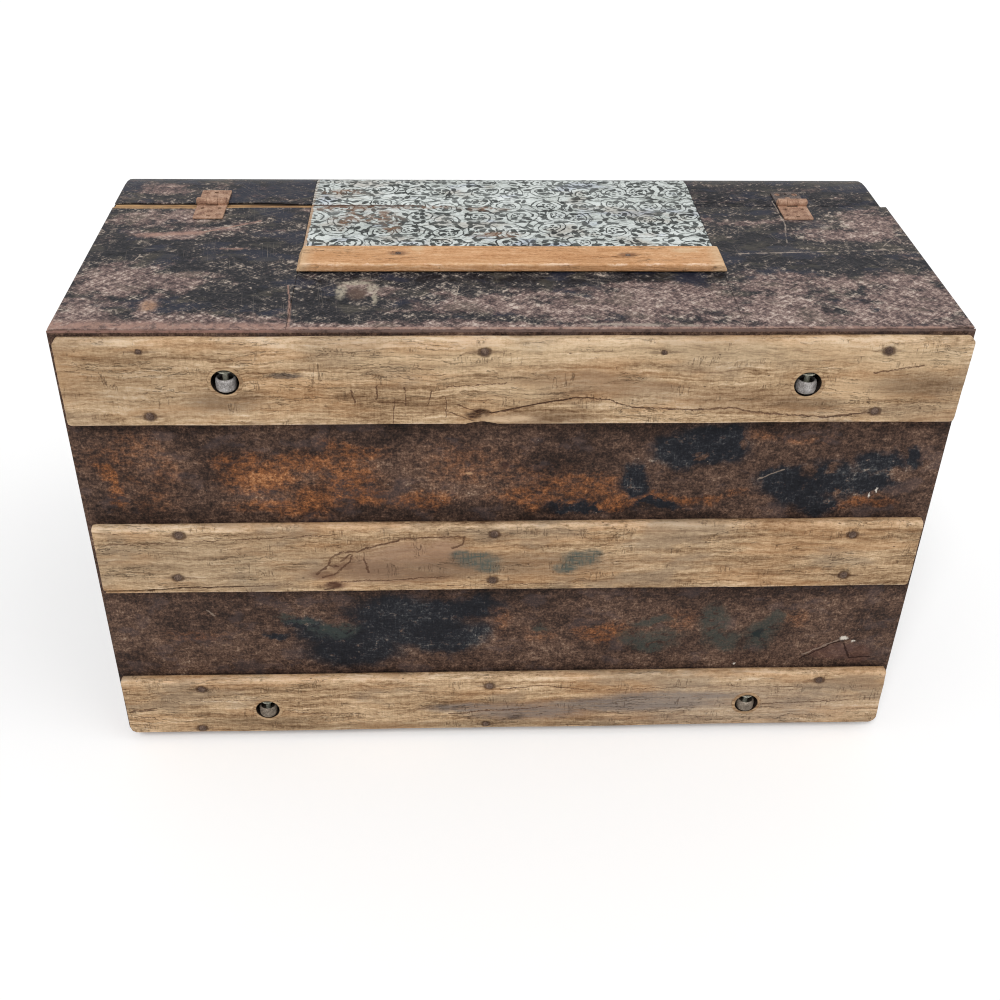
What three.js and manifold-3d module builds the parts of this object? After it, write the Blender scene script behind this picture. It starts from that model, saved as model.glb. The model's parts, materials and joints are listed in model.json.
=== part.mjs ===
import * as THREE from 'three';
import { mergeVertices } from 'three/addons/utils/BufferGeometryUtils.js';
import Module from 'manifold-3d';

// Dome top trunk, lying on its front as it does when its bottom is being looked over.
// Lengths are in millimetres. X runs along the trunk, Y from its bottom to its dome,
// and Z from its front, which is on the ground, to its back.

// Overall sizes
const bodyDepth = 455;
const seamHeight = 275;
const rimHeight = 53.5;
const domeRise = 140;
const seamGap = 1.5;
const lidSetBack = 6;

// Thicknesses and clearances
const boardThickness = 9;
const sheetThickness = 1;
const fit = 0.3;
const overrun = 5;

// Covering of the back and the lid
const panelWidth = 384;
const bareEdge = 4;

// Slats
const slatLength = 765;
const slatEndInset = 4;
const slatCorner = 4;
const slatEase = 1.5;
const bottomSlatThickness = 11;
const bottomSlatWidths = { back: 83.5, middle: 77.5, front: 73.5 };
const bottomSlatTrims = { back: 0, middle: 1, front: 7 };
const backSlatInset = 3;
const middleSlatDrop = 4.3;
const frontSlatInset = 1.2;
const backSlatLength = 392;
const backSlatShift = 1.2;
const backSlatEndSlope = 5;
const backSlatWidth = 42;
const backSlatThickness = 9.5;
const backSlatHeight = 119.5;
const frontSlatWidth = 42;
const frontSlatThickness = 9.5;
const frontSlatLowHeight = 38;
const frontSlatBelowSeam = 11;
const domeSlatWidth = 46;
const domeSlatThickness = 9.5;
const domeSlatAngles = { back: Math.PI / 4, crown: Math.PI / 2, front: 3 * Math.PI / 4 };

// Dome
const staveCount = 6;
const staveArcSteps = 6;
const domeSteps = 36;

// Rollers, each in an iron cup let into an outer slat
const rollerFromSlatEnd = 137.5;
const rollerFromBack = 43;
const rollerFromFront = 34;
const rollerStrays = {
  back_left: { x: 0.5, z: 0 },
  back_right: { x: 3, z: -4 },
  front_left: { x: 3, z: -1 },
  front_right: { x: -0.5, z: -2 },
};
const rollerRadius = 9;
const rollerLength = 11.5;
const rollerRounding = 2;
const rollerProud = 2.5;
const rollerDrop = 3;
const rollerRecessDepth = 3;
const rollerRim = 1;
const axleRadius = 2.5;
const axleCollarRadius = 6.6;
const axleCollarThickness = 1.2;
const axleCollarInset = 2.4;
const cupRadius = 12.7;
const cupWall = 0.7;
const cupFloor = 0.8;
const cupRim = 0.6;
const cupClearance = 1.9;

// Butt hinges over the seam at the back
const hingeFromEnd = 97;
const hingeWidth = 29;
const leafHeight = 35;
const leafThickness = 1.6;
const leafCorner = 1.5;
const knuckleRadius = 4;
const middleKnuckle = 11;
const hingePinRadius = 1.9;
const pinHeadRadius = 2.9;
const pinHeadHeight = 1.1;
const screwHoleRadius = 2.1;
const screwInset = 6;

// Handles on the ends, leather between two iron caps
const handleHeight = 165;
const handleSpan = 184;
const handleStand = 38;
const strapWidth = 32;
const strapThickness = 6;
const strapEase = 1.2;
const strapTuck = 24;
const capLength = 42;
const capWidth = 48;
const capWall = 1.6;
const capCorner = 7;
const pocketSide = 2.5;

// Lock and hasp at the middle of the front
const lockWidth = 56;
const lockHeight = 38;
const lockThickness = 1.5;
const lockCorner = 4;
const lockFromSeam = 4;
const keyholeRadius = 2.4;
const keyholeLength = 8;
const haspWidth = 26;
const haspReach = 44;
const haspThickness = 1.5;
const haspKnuckleRadius = 2.5;
const haspPinRadius = 1.2;
const haspAxisAboveSeam = 11;
const bracketWidth = 44;
const bracketHeight = 30;
const bracketCorner = 5;

// Worked out from the sizes above
const halfLength = slatLength / 2 + slatEndInset;
const halfPanel = panelWidth / 2;
const skin = sheetThickness + fit;
const frontFace = frontSlatThickness + fit;
const backFace = frontFace + bodyDepth;
const midDepth = (frontFace + backFace) / 2;
const bottomFace = bottomSlatThickness + fit;
const floorUnder = bottomFace + skin;
const floorTop = floorUnder + boardThickness;
const lidBase = seamHeight + seamGap;
const domeBase = lidBase + rimHeight;
const boardHalfLength = halfLength - skin;
const lidRight = halfLength - lidSetBack;
const frontSlatHighHeight = seamHeight - frontSlatBelowSeam - frontSlatWidth;
const trunkTop = domeBase + domeRise + fit + domeSlatThickness;
const middleOfHeight = (trunkTop - rollerProud) / 2;

// Finishes
const finish = (color, roughness, metalness) =>
  new THREE.MeshStandardMaterial({ color, roughness, metalness });
const paleWood = finish(0xb89c74, 0.8, 0);
const warmWood = finish(0xc08a58, 0.75, 0);
const bareBoard = finish(0xa98a62, 0.85, 0);
const rustySheet = finish(0x523626, 0.75, 0.3);
const darkSheet = finish(0x383438, 0.7, 0.3);
const patternedSheet = finish(0xb4c4c4, 0.6, 0.2);
const wornIron = finish(0x5a5450, 0.55, 0.8);
const rustyIron = finish(0x9a7a68, 0.7, 0.5);
const leather = finish(0x4a2e1e, 0.7, 0);

const wasm = await Module();
wasm.setup();

function solidOf(geometry) {
  const bare = geometry.clone();
  bare.deleteAttribute('normal');
  bare.deleteAttribute('uv');
  const merged = mergeVertices(bare);
  const mesh = new wasm.Mesh({
    numProp: 3,
    vertProperties: Float32Array.from(merged.attributes.position.array),
    triVerts: Uint32Array.from(merged.index.array),
  });
  return new wasm.Manifold(mesh);
}

function geometryOf(solid) {
  const { vertProperties, triVerts } = solid.getMesh();
  const geometry = new THREE.BufferGeometry();
  geometry.setAttribute('position', new THREE.BufferAttribute(vertProperties, 3));
  geometry.setIndex(new THREE.BufferAttribute(triVerts, 1));
  geometry.computeVertexNormals();
  return geometry;
}

function join(first, ...others) {
  return geometryOf(others.reduce((whole, next) => whole.add(solidOf(next)), solidOf(first)));
}

function cut(whole, ...tools) {
  return geometryOf(tools.reduce((left, tool) => left.subtract(solidOf(tool)), solidOf(whole)));
}

// Extrusions of flat outlines along each axis of the trunk
const xAxis = new THREE.Vector3(1, 0, 0);
const yAxis = new THREE.Vector3(0, 1, 0);
const zAxis = new THREE.Vector3(0, 0, 1);
const cornerSteps = 3;

function extrude(shape, length, ease = 0) {
  return new THREE.ExtrudeGeometry(shape, {
    depth: length - 2 * ease,
    curveSegments: cornerSteps,
    bevelEnabled: ease > 0,
    bevelThickness: ease,
    bevelSize: ease,
    bevelOffset: -ease,
    bevelSegments: 1,
  }).translate(0, 0, ease);
}

function alongX(shapeYZ, from, to, ease) {
  const turn = new THREE.Matrix4().makeBasis(yAxis, zAxis, xAxis);
  return extrude(shapeYZ, to - from, ease).applyMatrix4(turn).translate(from, 0, 0);
}

function alongY(shapeXZ, from, to, ease) {
  const turn = new THREE.Matrix4().makeBasis(xAxis, zAxis, yAxis.clone().negate());
  return extrude(shapeXZ, to - from, ease).applyMatrix4(turn).translate(0, to, 0);
}

function alongZ(shapeXY, from, to, ease) {
  return extrude(shapeXY, to - from, ease).translate(0, 0, from);
}

function block([x0, x1], [y0, y1], [z0, z1]) {
  const box = new THREE.BoxGeometry(x1 - x0, y1 - y0, z1 - z0);
  return box.translate((x0 + x1) / 2, (y0 + y1) / 2, (z0 + z1) / 2);
}

function rodAlongX(radius, from, to, [y, z], sides = 16) {
  const rod = new THREE.CylinderGeometry(radius, radius, to - from, sides);
  return rod.rotateZ(Math.PI / 2).translate((from + to) / 2, y, z);
}

function rodAlongY(radius, from, to, [x, z], sides = 28) {
  const rod = new THREE.CylinderGeometry(radius, radius, to - from, sides);
  return rod.translate(x, (from + to) / 2, z);
}

function rodAlongZ(radius, from, to, [x, y], sides = 16) {
  const rod = new THREE.CylinderGeometry(radius, radius, to - from, sides);
  return rod.rotateX(Math.PI / 2).translate(x, y, (from + to) / 2);
}

function roundedRectangle([u0, u1], [v0, v1], radius) {
  const shape = new THREE.Shape();
  shape.moveTo(u0 + radius, v0);
  shape.lineTo(u1 - radius, v0);
  shape.absarc(u1 - radius, v0 + radius, radius, -Math.PI / 2, 0);
  shape.lineTo(u1, v1 - radius);
  shape.absarc(u1 - radius, v1 - radius, radius, 0, Math.PI / 2);
  shape.lineTo(u0 + radius, v1);
  shape.absarc(u0 + radius, v1 - radius, radius, Math.PI / 2, Math.PI);
  shape.lineTo(u0, v0 + radius);
  shape.absarc(u0 + radius, v0 + radius, radius, Math.PI, 3 * Math.PI / 2);
  return shape;
}

function roundHole(u, v, radius, sides = 28) {
  const points = [];
  for (let i = 0; i < sides; i += 1) {
    const angle = -2 * Math.PI * i / sides;
    points.push(new THREE.Vector2(u + radius * Math.cos(angle), v + radius * Math.sin(angle)));
  }
  return new THREE.Path(points);
}

const trunk = new THREE.Group();
const body = new THREE.Group();
const lid = new THREE.Group();
trunk.add(body, lid);
trunk.position.y = -middleOfHeight;

function place(group, name, geometry, material, [x, y, z] = [0, 0, 0]) {
  const mesh = new THREE.Mesh(geometry, material);
  mesh.name = name;
  mesh.position.set(x, y, z);
  group.add(mesh);
  return mesh;
}

// Where each roller sits on the bottom, and which slat holds it; each hole was bored a little off its mark
const rollerPlaces = [];
const rollerOut = slatLength / 2 - rollerFromSlatEnd;
for (const [row, z] of [['back', backFace - rollerFromBack], ['front', frontFace + rollerFromFront]]) {
  for (const [side, x] of [['left', -rollerOut], ['right', rollerOut]]) {
    const name = `${row}_${side}`;
    const stray = rollerStrays[name];
    rollerPlaces.push({ name, row, x: x + stray.x, z: z + stray.z });
  }
}
const cupHole = cupRadius + fit;
const axleDepth = rollerRadius - rollerProud;
const cupEnd = axleDepth + rollerRadius + cupClearance + cupFloor;

// Boards of the body, nailed together as an open box
function addBodyBoards() {
  const wallOuter = [frontFace + skin, backFace - skin];
  const wallInner = [wallOuter[0] + boardThickness, wallOuter[1] - boardThickness];
  const wallHeight = [floorTop + fit, seamHeight];
  const fullLength = [-boardHalfLength, boardHalfLength];
  const recesses = rollerPlaces.map(({ x, z }) =>
    rodAlongY(cupHole, floorUnder - overrun, cupEnd + fit, [x, z]));
  const floor = block(fullLength, [floorUnder, floorTop], wallOuter);
  place(body, 'bottom_board', cut(floor, ...recesses), bareBoard);
  place(body, 'front_board', block(fullLength, wallHeight, [wallOuter[0], wallInner[0]]), bareBoard);
  place(body, 'back_board', block(fullLength, wallHeight, [wallInner[1], wallOuter[1]]), bareBoard);
  const endDepth = [wallInner[0] + fit, wallInner[1] - fit];
  const endBoard = block([-boardThickness / 2, boardThickness / 2], wallHeight, endDepth);
  const endPlace = boardHalfLength - boardThickness / 2;
  place(body, 'left_end_board', endBoard, bareBoard, [-endPlace, 0, 0]);
  place(body, 'right_end_board', endBoard.clone(), bareBoard, [endPlace, 0, 0]);
}

// Sheet iron nailed over the boards, and the patterned tin panel at the middle of the back
function addBodySheets() {
  const wallHeight = [floorUnder, seamHeight - bareEdge];
  const panelFoot = backSlatHeight + backSlatWidth / 2;
  const bottomShape = new THREE.Shape();
  bottomShape.moveTo(-halfLength, frontFace);
  bottomShape.lineTo(halfLength, frontFace);
  bottomShape.lineTo(halfLength, backFace);
  bottomShape.lineTo(-halfLength, backFace);
  for (const { x, z } of rollerPlaces) {
    bottomShape.holes.push(roundHole(x, z, cupHole));
  }
  const bottomSheet = alongY(bottomShape, bottomFace, bottomFace + sheetThickness);
  place(body, 'bottom_sheet', bottomSheet, rustySheet);
  const backDepth = [backFace - sheetThickness, backFace];
  const sideLength = [halfPanel + fit, halfLength];
  const leftSheet = block([-sideLength[1], -sideLength[0]], wallHeight, backDepth);
  place(body, 'back_sheet_left', leftSheet, darkSheet);
  place(body, 'back_sheet_right', block(sideLength, wallHeight, backDepth), darkSheet);
  const panelLength = [-halfPanel, halfPanel];
  const lowerMiddle = block(panelLength, [wallHeight[0], panelFoot - fit], backDepth);
  place(body, 'back_sheet_middle', lowerMiddle, darkSheet);
  const panel = block(panelLength, [panelFoot, wallHeight[1]], backDepth);
  place(body, 'patterned_panel', panel, patternedSheet);
  const frontDepth = [frontFace, frontFace + sheetThickness];
  place(body, 'front_sheet', block([-halfLength, halfLength], wallHeight, frontDepth), darkSheet);
  const endDepth = [frontFace + skin, backFace - skin];
  const endSheet = block([-sheetThickness / 2, sheetThickness / 2], wallHeight, endDepth);
  const endPlace = halfLength - sheetThickness / 2;
  place(body, 'left_end_sheet', endSheet, darkSheet, [-endPlace, 0, 0]);
  place(body, 'right_end_sheet', endSheet.clone(), darkSheet, [endPlace, 0, 0]);
}

// Wooden slats that the trunk stands and lies on
function addBodySlats() {
  const starts = {
    back: backFace - backSlatInset - bottomSlatWidths.back,
    middle: midDepth - middleSlatDrop - bottomSlatWidths.middle / 2,
    front: frontFace + frontSlatInset,
  };
  for (const [row, z] of Object.entries(starts)) {
    const half = (slatLength - bottomSlatTrims[row]) / 2;
    const outline = roundedRectangle([-half, half], [z, z + bottomSlatWidths[row]], slatCorner);
    for (const roller of rollerPlaces.filter((spot) => spot.row === row)) {
      outline.holes.push(roundHole(roller.x, roller.z, cupHole));
    }
    const slat = alongY(outline, 0, bottomSlatThickness, slatEase);
    place(body, `bottom_slat_${row}`, slat, paleWood);
  }
  const baseHalf = backSlatLength / 2;
  const topHalf = baseHalf - backSlatEndSlope;
  const backStart = backFace + fit;
  const backTop = backStart + backSlatThickness;
  const backProfile = new THREE.Shape([
    new THREE.Vector2(-baseHalf, backStart),
    new THREE.Vector2(baseHalf, backStart),
    new THREE.Vector2(topHalf, backTop),
    new THREE.Vector2(-topHalf, backTop),
  ]);
  const backSlat = alongY(backProfile, backSlatHeight, backSlatHeight + backSlatWidth, slatEase);
  place(body, 'back_slat', backSlat, warmWood, [backSlatShift, 0, 0]);
  const across = [-slatLength / 2, slatLength / 2];
  const lowUp = [frontSlatLowHeight, frontSlatLowHeight + frontSlatWidth];
  const lowOutline = roundedRectangle(across, lowUp, slatCorner);
  place(body, 'front_slat_low', alongZ(lowOutline, 0, frontSlatThickness, slatEase), paleWood);
  const highUp = [frontSlatHighHeight, frontSlatHighHeight + frontSlatWidth];
  const highOutline = roundedRectangle(across, highUp, slatCorner);
  const highSlat = alongZ(highOutline, 0, frontSlatThickness, slatEase);
  const notchHalf = lockWidth / 2 + fit;
  const lockFoot = seamHeight - lockFromSeam - lockHeight;
  const notch = block(
    [-notchHalf, notchHalf],
    [lockFoot - fit, seamHeight],
    [-overrun, frontSlatThickness + overrun]);
  place(body, 'front_slat_high', cut(highSlat, notch), paleWood);
}

// One iron cup with its riveted axle and collar, centred on its hole
function rollerCup() {
  const inner = cupRadius - cupWall;
  const profile = [
    [cupRadius, cupRim],
    [cupRadius, cupEnd],
    [0, cupEnd],
    [0, cupEnd - cupFloor],
    [inner, cupEnd - cupFloor],
    [inner, cupRim],
    [cupRadius, cupRim],
  ].map(([r, y]) => new THREE.Vector2(r, y));
  const cup = new THREE.LatheGeometry(profile, 28);
  const axleEnd = cupRadius - cupWall / 2;
  const axle = rodAlongZ(axleRadius, -axleEnd, axleEnd, [0, axleDepth]);
  const collarTop = inner - axleCollarInset;
  const collar = rodAlongZ(
    axleCollarRadius, collarTop - axleCollarThickness, collarTop, [0, axleDepth]);
  return join(cup, axle, collar);
}

// One roller, hollow at both ends, centred on its own axis
function roller() {
  const half = rollerLength / 2;
  const bore = axleRadius + fit;
  const endRadius = rollerRadius - rollerRounding;
  const recessRadius = endRadius - rollerRim;
  const hub = half - rollerRecessDepth;
  const outline = [new THREE.Vector2(bore, -hub), new THREE.Vector2(recessRadius, -hub)];
  outline.push(new THREE.Vector2(recessRadius, -half));
  const arcSteps = 3;
  for (let i = 0; i <= arcSteps; i += 1) {
    const angle = (i / arcSteps) * Math.PI / 2;
    const out = endRadius + rollerRounding * Math.sin(angle);
    outline.push(new THREE.Vector2(out, -half + rollerRounding * (1 - Math.cos(angle))));
  }
  const upper = outline.map((p) => new THREE.Vector2(p.x, -p.y)).reverse();
  const closed = [...outline, ...upper, outline[0].clone()];
  return new THREE.LatheGeometry(closed, 24).rotateX(Math.PI / 2);
}

function addRollers() {
  for (const { name, x, z } of rollerPlaces) {
    place(body, `roller_cup_${name}`, rollerCup(), wornIron, [x, 0, z]);
    place(body, `roller_${name}`, roller(), wornIron, [x, axleDepth, z - rollerDrop]);
  }
}

// A hinge leaf lies on the sheet and rolls round the pin; way is 1 for the lid and -1 for the body
function hingeLeaf(way, axisY, axisZ) {
  const half = hingeWidth / 2;
  const gapHalf = middleKnuckle / 2;
  const near = axisY + way * (knuckleRadius + fit);
  const far = axisY + way * leafHeight;
  const under = axisZ - knuckleRadius;
  const shape = roundedRectangle([-half, half], [Math.min(near, far), Math.max(near, far)], leafCorner);
  const nearScrews = near + way * screwInset;
  const farScrew = far - way * screwInset;
  shape.holes.push(roundHole(-half + screwInset, nearScrews, screwHoleRadius, 10));
  shape.holes.push(roundHole(half - screwInset, nearScrews, screwHoleRadius, 10));
  shape.holes.push(roundHole(0, farScrew, screwHoleRadius, 10));
  const plate = alongZ(shape, under, under + leafThickness);
  const spans = way > 0
    ? [[-gapHalf + fit, gapHalf - fit]]
    : [[-half, -gapHalf], [gapHalf, half]];
  const rolls = [];
  for (const span of spans) {
    const wrap = [Math.min(axisY, near + way * leafCorner), Math.max(axisY, near + way * leafCorner)];
    rolls.push(rodAlongX(knuckleRadius, ...span, [axisY, axisZ]));
    rolls.push(block(span, wrap, [under, under + leafThickness]));
  }
  const bore = rodAlongX(hingePinRadius + fit, -hingeWidth, hingeWidth, [axisY, axisZ]);
  return cut(join(plate, ...rolls), bore);
}

function hingePin(axisY, axisZ) {
  const half = hingeWidth / 2 + fit;
  const profile = [
    [0, -half - pinHeadHeight],
    [pinHeadRadius, -half - pinHeadHeight / 2],
    [pinHeadRadius, -half],
    [hingePinRadius, -half],
    [hingePinRadius, half],
    [pinHeadRadius, half],
    [pinHeadRadius, half + pinHeadHeight / 2],
    [0, half + pinHeadHeight],
  ].map(([r, along]) => new THREE.Vector2(r, along));
  return new THREE.LatheGeometry(profile, 16).rotateZ(Math.PI / 2).translate(0, axisY, axisZ);
}

function addHinges() {
  const axisY = seamHeight + seamGap / 2;
  const axisZ = backFace + fit + knuckleRadius;
  const hingeOut = halfLength - hingeFromEnd;
  for (const [side, x] of [['left', -hingeOut], ['right', hingeOut]]) {
    place(body, `hinge_body_leaf_${side}`, hingeLeaf(-1, axisY, axisZ), rustyIron, [x, 0, 0]);
    place(body, `hinge_pin_${side}`, hingePin(axisY, axisZ), rustyIron, [x, 0, 0]);
    place(lid, `hinge_lid_leaf_${side}`, hingeLeaf(1, axisY, axisZ), rustyIron, [x, 0, 0]);
  }
}

// Leather strap handle, built on the right end with X counted out from the sheet
function handleStrap() {
  const flatEnd = handleSpan / 2;
  const tuckEnd = flatEnd - strapTuck;
  const low = fit + strapThickness / 2;
  const high = handleStand - strapThickness / 2;
  const bow = new THREE.CubicBezierCurve(
    new THREE.Vector2(tuckEnd, low),
    new THREE.Vector2(tuckEnd - strapTuck, low),
    new THREE.Vector2(tuckEnd - strapTuck, high),
    new THREE.Vector2(0, high));
  const bowSteps = 10;
  const outer = [new THREE.Vector2(flatEnd, low + strapThickness / 2)];
  const inner = [new THREE.Vector2(flatEnd, low - strapThickness / 2)];
  for (let i = 0; i <= bowSteps; i += 1) {
    const along = bow.getPoint(i / bowSteps);
    const tangent = bow.getTangent(i / bowSteps);
    const outward = new THREE.Vector2(tangent.y, -tangent.x).multiplyScalar(strapThickness / 2);
    outer.push(along.clone().add(outward));
    inner.push(along.clone().sub(outward));
  }
  const mirrored = (points) => points.slice(0, -1).reverse().map((p) => new THREE.Vector2(-p.x, p.y));
  const outline = [...outer, ...mirrored(outer), ...[...inner, ...mirrored(inner)].reverse()];
  const shape = new THREE.Shape(outline);
  const band = extrude(shape, strapWidth, strapEase).translate(0, 0, -strapWidth / 2);
  const turn = new THREE.Matrix4().makeBasis(zAxis, xAxis, yAxis);
  return band.applyMatrix4(turn);
}

// Pressed iron cap over one end of the strap, open towards the strap; way is 1 at the back end
function handleCap(way) {
  const flatEnd = handleSpan / 2;
  const mouth = way * (flatEnd - strapTuck + capWall);
  const pocketEnd = way * (flatEnd + fit + capWall);
  const far = mouth + way * capLength;
  const span = (a, b) => [Math.min(a, b), Math.max(a, b)];
  const halfPocket = strapWidth / 2 + fit + capWall;
  const plateShape = roundedRectangle([-capWidth / 2, capWidth / 2], span(mouth, far), capCorner);
  const plate = extrude(plateShape, capWall, capWall / 4);
  const pocketHeight = fit + strapThickness + fit + capWall;
  const pocketShape = roundedRectangle([-halfPocket, halfPocket], span(mouth, pocketEnd), pocketSide);
  const pocket = extrude(pocketShape, pocketHeight, capWall / 2);
  const tunnelHalf = strapWidth / 2 + fit;
  const tunnelDepth = strapThickness + 2 * fit;
  const tunnel = block(
    [-tunnelHalf, tunnelHalf],
    span(mouth - way * overrun, way * (flatEnd + fit)),
    [-overrun, tunnelDepth]);
  const cap = cut(join(plate, pocket), tunnel);
  const turn = new THREE.Matrix4().makeBasis(yAxis, zAxis, xAxis);
  return cap.applyMatrix4(turn).translate(fit, 0, 0);
}

function addHandles() {
  for (const [side, sign] of [['left', -1], ['right', 1]]) {
    const end = new THREE.Group();
    end.position.set(sign * halfLength, handleHeight, midDepth);
    end.rotation.y = sign > 0 ? 0 : Math.PI;
    body.add(end);
    place(end, `handle_strap_${side}`, handleStrap(), leather);
    place(end, `handle_cap_${side}_${sign > 0 ? 'back' : 'front'}`, handleCap(1), wornIron);
    place(end, `handle_cap_${side}_${sign > 0 ? 'front' : 'back'}`, handleCap(-1), wornIron);
  }
}

// Lock plate with its keyhole, on the front sheet
function addLock() {
  const up = [seamHeight - lockFromSeam - lockHeight, seamHeight - lockFromSeam];
  const shape = roundedRectangle([-lockWidth / 2, lockWidth / 2], up, lockCorner);
  const keyY = up[0] + lockHeight / 4;
  const keyhole = new THREE.Path();
  const slotHalf = keyholeRadius / 2;
  const slotMeets = Math.sqrt(keyholeRadius ** 2 - slotHalf ** 2);
  const slotAngle = Math.atan2(slotMeets, slotHalf);
  keyhole.absarc(0, keyY, keyholeRadius, -slotAngle, Math.PI + slotAngle);
  keyhole.lineTo(-slotHalf, keyY - keyholeLength);
  keyhole.lineTo(slotHalf, keyY - keyholeLength);
  shape.holes.push(keyhole);
  const start = frontFace - fit - lockThickness;
  place(body, 'lock_plate', alongZ(shape, start, start + lockThickness), wornIron);
}

// Bracket on the lid with two knuckles and its pin, and the hasp that hangs from the pin
function addHasp() {
  const axisY = seamHeight + haspAxisAboveSeam;
  const plateFrom = frontFace - fit - lockThickness;
  const axisZ = frontFace - fit - haspKnuckleRadius;
  const middleHalf = haspWidth / 4;
  const outerHalf = haspWidth / 2;
  const clearOfKnuckle = axisY + haspKnuckleRadius + fit;
  const plateUp = [clearOfKnuckle, clearOfKnuckle + bracketHeight];
  const plateShape = roundedRectangle([-bracketWidth / 2, bracketWidth / 2], plateUp, bracketCorner);
  const plate = alongZ(plateShape, plateFrom, plateFrom + lockThickness);
  const pieces = [rodAlongX(haspPinRadius, -outerHalf, outerHalf, [axisY, axisZ], 12)];
  for (const span of [[-outerHalf, -middleHalf - fit], [middleHalf + fit, outerHalf]]) {
    pieces.push(rodAlongX(haspKnuckleRadius, ...span, [axisY, axisZ]));
    const wrap = [axisY, clearOfKnuckle + bracketCorner];
    pieces.push(block(span, wrap, [plateFrom, plateFrom + lockThickness]));
  }
  place(lid, 'hasp_bracket', join(plate, ...pieces), wornIron);

  const tongue = new THREE.Shape();
  const foot = axisY - haspReach;
  const tipRadius = haspWidth / 3;
  const shoulder = axisY - haspKnuckleRadius - fit - haspThickness;
  tongue.moveTo(-middleHalf, axisY);
  tongue.lineTo(-middleHalf, shoulder);
  tongue.lineTo(-outerHalf, shoulder);
  tongue.lineTo(-tipRadius, foot + tipRadius);
  tongue.absarc(0, foot + tipRadius, tipRadius, Math.PI, 2 * Math.PI);
  tongue.lineTo(outerHalf, shoulder);
  tongue.lineTo(middleHalf, shoulder);
  tongue.lineTo(middleHalf, axisY);
  const tongueTop = plateFrom - fit;
  const strap = alongZ(tongue, tongueTop - haspThickness, tongueTop);
  const roll = rodAlongX(haspKnuckleRadius, -middleHalf, middleHalf, [axisY, axisZ]);
  const bore = rodAlongX(haspPinRadius + fit, -outerHalf, outerHalf, [axisY, axisZ], 12);
  place(lid, 'hasp', cut(join(strap, roll), bore), wornIron);
}

// Points on the dome's arch, sunk under its outer face by inset; angle 0 is at the back
function archPoint(inset, angle) {
  const y = domeBase + (domeRise - inset) * Math.sin(angle);
  const z = midDepth + (bodyDepth / 2 - inset) * Math.cos(angle);
  return new THREE.Vector2(y, z);
}

function archPoints(inset, from, to, steps) {
  const points = [];
  for (let i = 0; i <= steps; i += 1) {
    points.push(archPoint(inset, from + (to - from) * i / steps));
  }
  return points;
}

function archedOutline(inset, steps) {
  const half = bodyDepth / 2 - inset;
  return [
    new THREE.Vector2(lidBase, midDepth + half),
    ...archPoints(inset, 0, Math.PI, steps),
    new THREE.Vector2(lidBase, midDepth - half),
  ];
}

function addLidBoards() {
  const fullLength = [-boardHalfLength, lidRight - skin];
  const wallOuter = [frontFace + skin, backFace - skin];
  const wallInner = [wallOuter[0] + boardThickness, wallOuter[1] - boardThickness];
  const rimUp = [lidBase, domeBase - fit];
  place(lid, 'lid_front_rim', block(fullLength, rimUp, [wallOuter[0], wallInner[0]]), bareBoard);
  place(lid, 'lid_back_rim', block(fullLength, rimUp, [wallInner[1], wallOuter[1]]), bareBoard);
  const inner = skin + boardThickness;
  const turn = Math.PI / staveCount;
  for (let i = 0; i < staveCount; i += 1) {
    const gap = fit / domeRise / 2;
    const from = i * turn + (i > 0 ? gap : 0);
    const to = (i + 1) * turn - (i < staveCount - 1 ? gap : 0);
    const outer = archPoints(skin, from, to, staveArcSteps);
    const shape = new THREE.Shape([...outer, archPoint(inner, to), archPoint(inner, from)]);
    place(lid, `dome_stave_${i + 1}`, alongX(shape, ...fullLength), bareBoard);
  }
  const endShape = new THREE.Shape(archedOutline(inner + fit, staveCount));
  const endBoard = alongX(endShape, -boardThickness / 2, boardThickness / 2);
  const endInset = boardThickness / 2;
  place(lid, 'left_lid_end', endBoard, bareBoard, [fullLength[0] + endInset, 0, 0]);
  place(lid, 'right_lid_end', endBoard.clone(), bareBoard, [fullLength[1] - endInset, 0, 0]);
}

function addLidSheets() {
  const outer = archedOutline(0, domeSteps);
  const inner = archedOutline(sheetThickness, domeSteps).reverse();
  const band = new THREE.Shape([...outer, ...inner]);
  const side = halfPanel + fit;
  place(lid, 'lid_sheet_left', alongX(band, -halfLength, -side), darkSheet);
  place(lid, 'lid_sheet_middle', alongX(band, -halfPanel, halfPanel), patternedSheet);
  place(lid, 'lid_sheet_right', alongX(band, side, lidRight), darkSheet);
  const endShape = new THREE.Shape(archedOutline(skin, domeSteps));
  const endSheet = alongX(endShape, -sheetThickness / 2, sheetThickness / 2);
  const endInset = sheetThickness / 2;
  place(lid, 'left_lid_end_sheet', endSheet, darkSheet, [endInset - halfLength, 0, 0]);
  place(lid, 'right_lid_end_sheet', endSheet.clone(), darkSheet, [lidRight - endInset, 0, 0]);
}

// Slats bent over the dome, each with its outer edges eased
function addDomeSlats() {
  for (const [name, angle] of Object.entries(domeSlatAngles)) {
    const turnRate = Math.hypot(
      (bodyDepth / 2) * Math.sin(angle),
      domeRise * Math.cos(angle));
    const half = domeSlatWidth / 2 / turnRate;
    const ease = slatEase / turnRate;
    const under = -fit;
    const over = -fit - domeSlatThickness;
    const shape = new THREE.Shape([
      ...archPoints(under, angle + half, angle - half, staveArcSteps),
      archPoint(over + slatEase, angle - half),
      ...archPoints(over, angle - half + ease, angle + half - ease, staveArcSteps),
      archPoint(over + slatEase, angle + half),
    ]);
    const ends = [slatEndInset - halfLength, lidRight - slatEndInset];
    place(lid, `dome_slat_${name}`, alongX(shape, ...ends), paleWood);
  }
}

addBodyBoards();
addBodySheets();
addBodySlats();
addRollers();
addHinges();
addHandles();
addLock();
addLidBoards();
addLidSheets();
addDomeSlats();
addHasp();

export default trunk;
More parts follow.
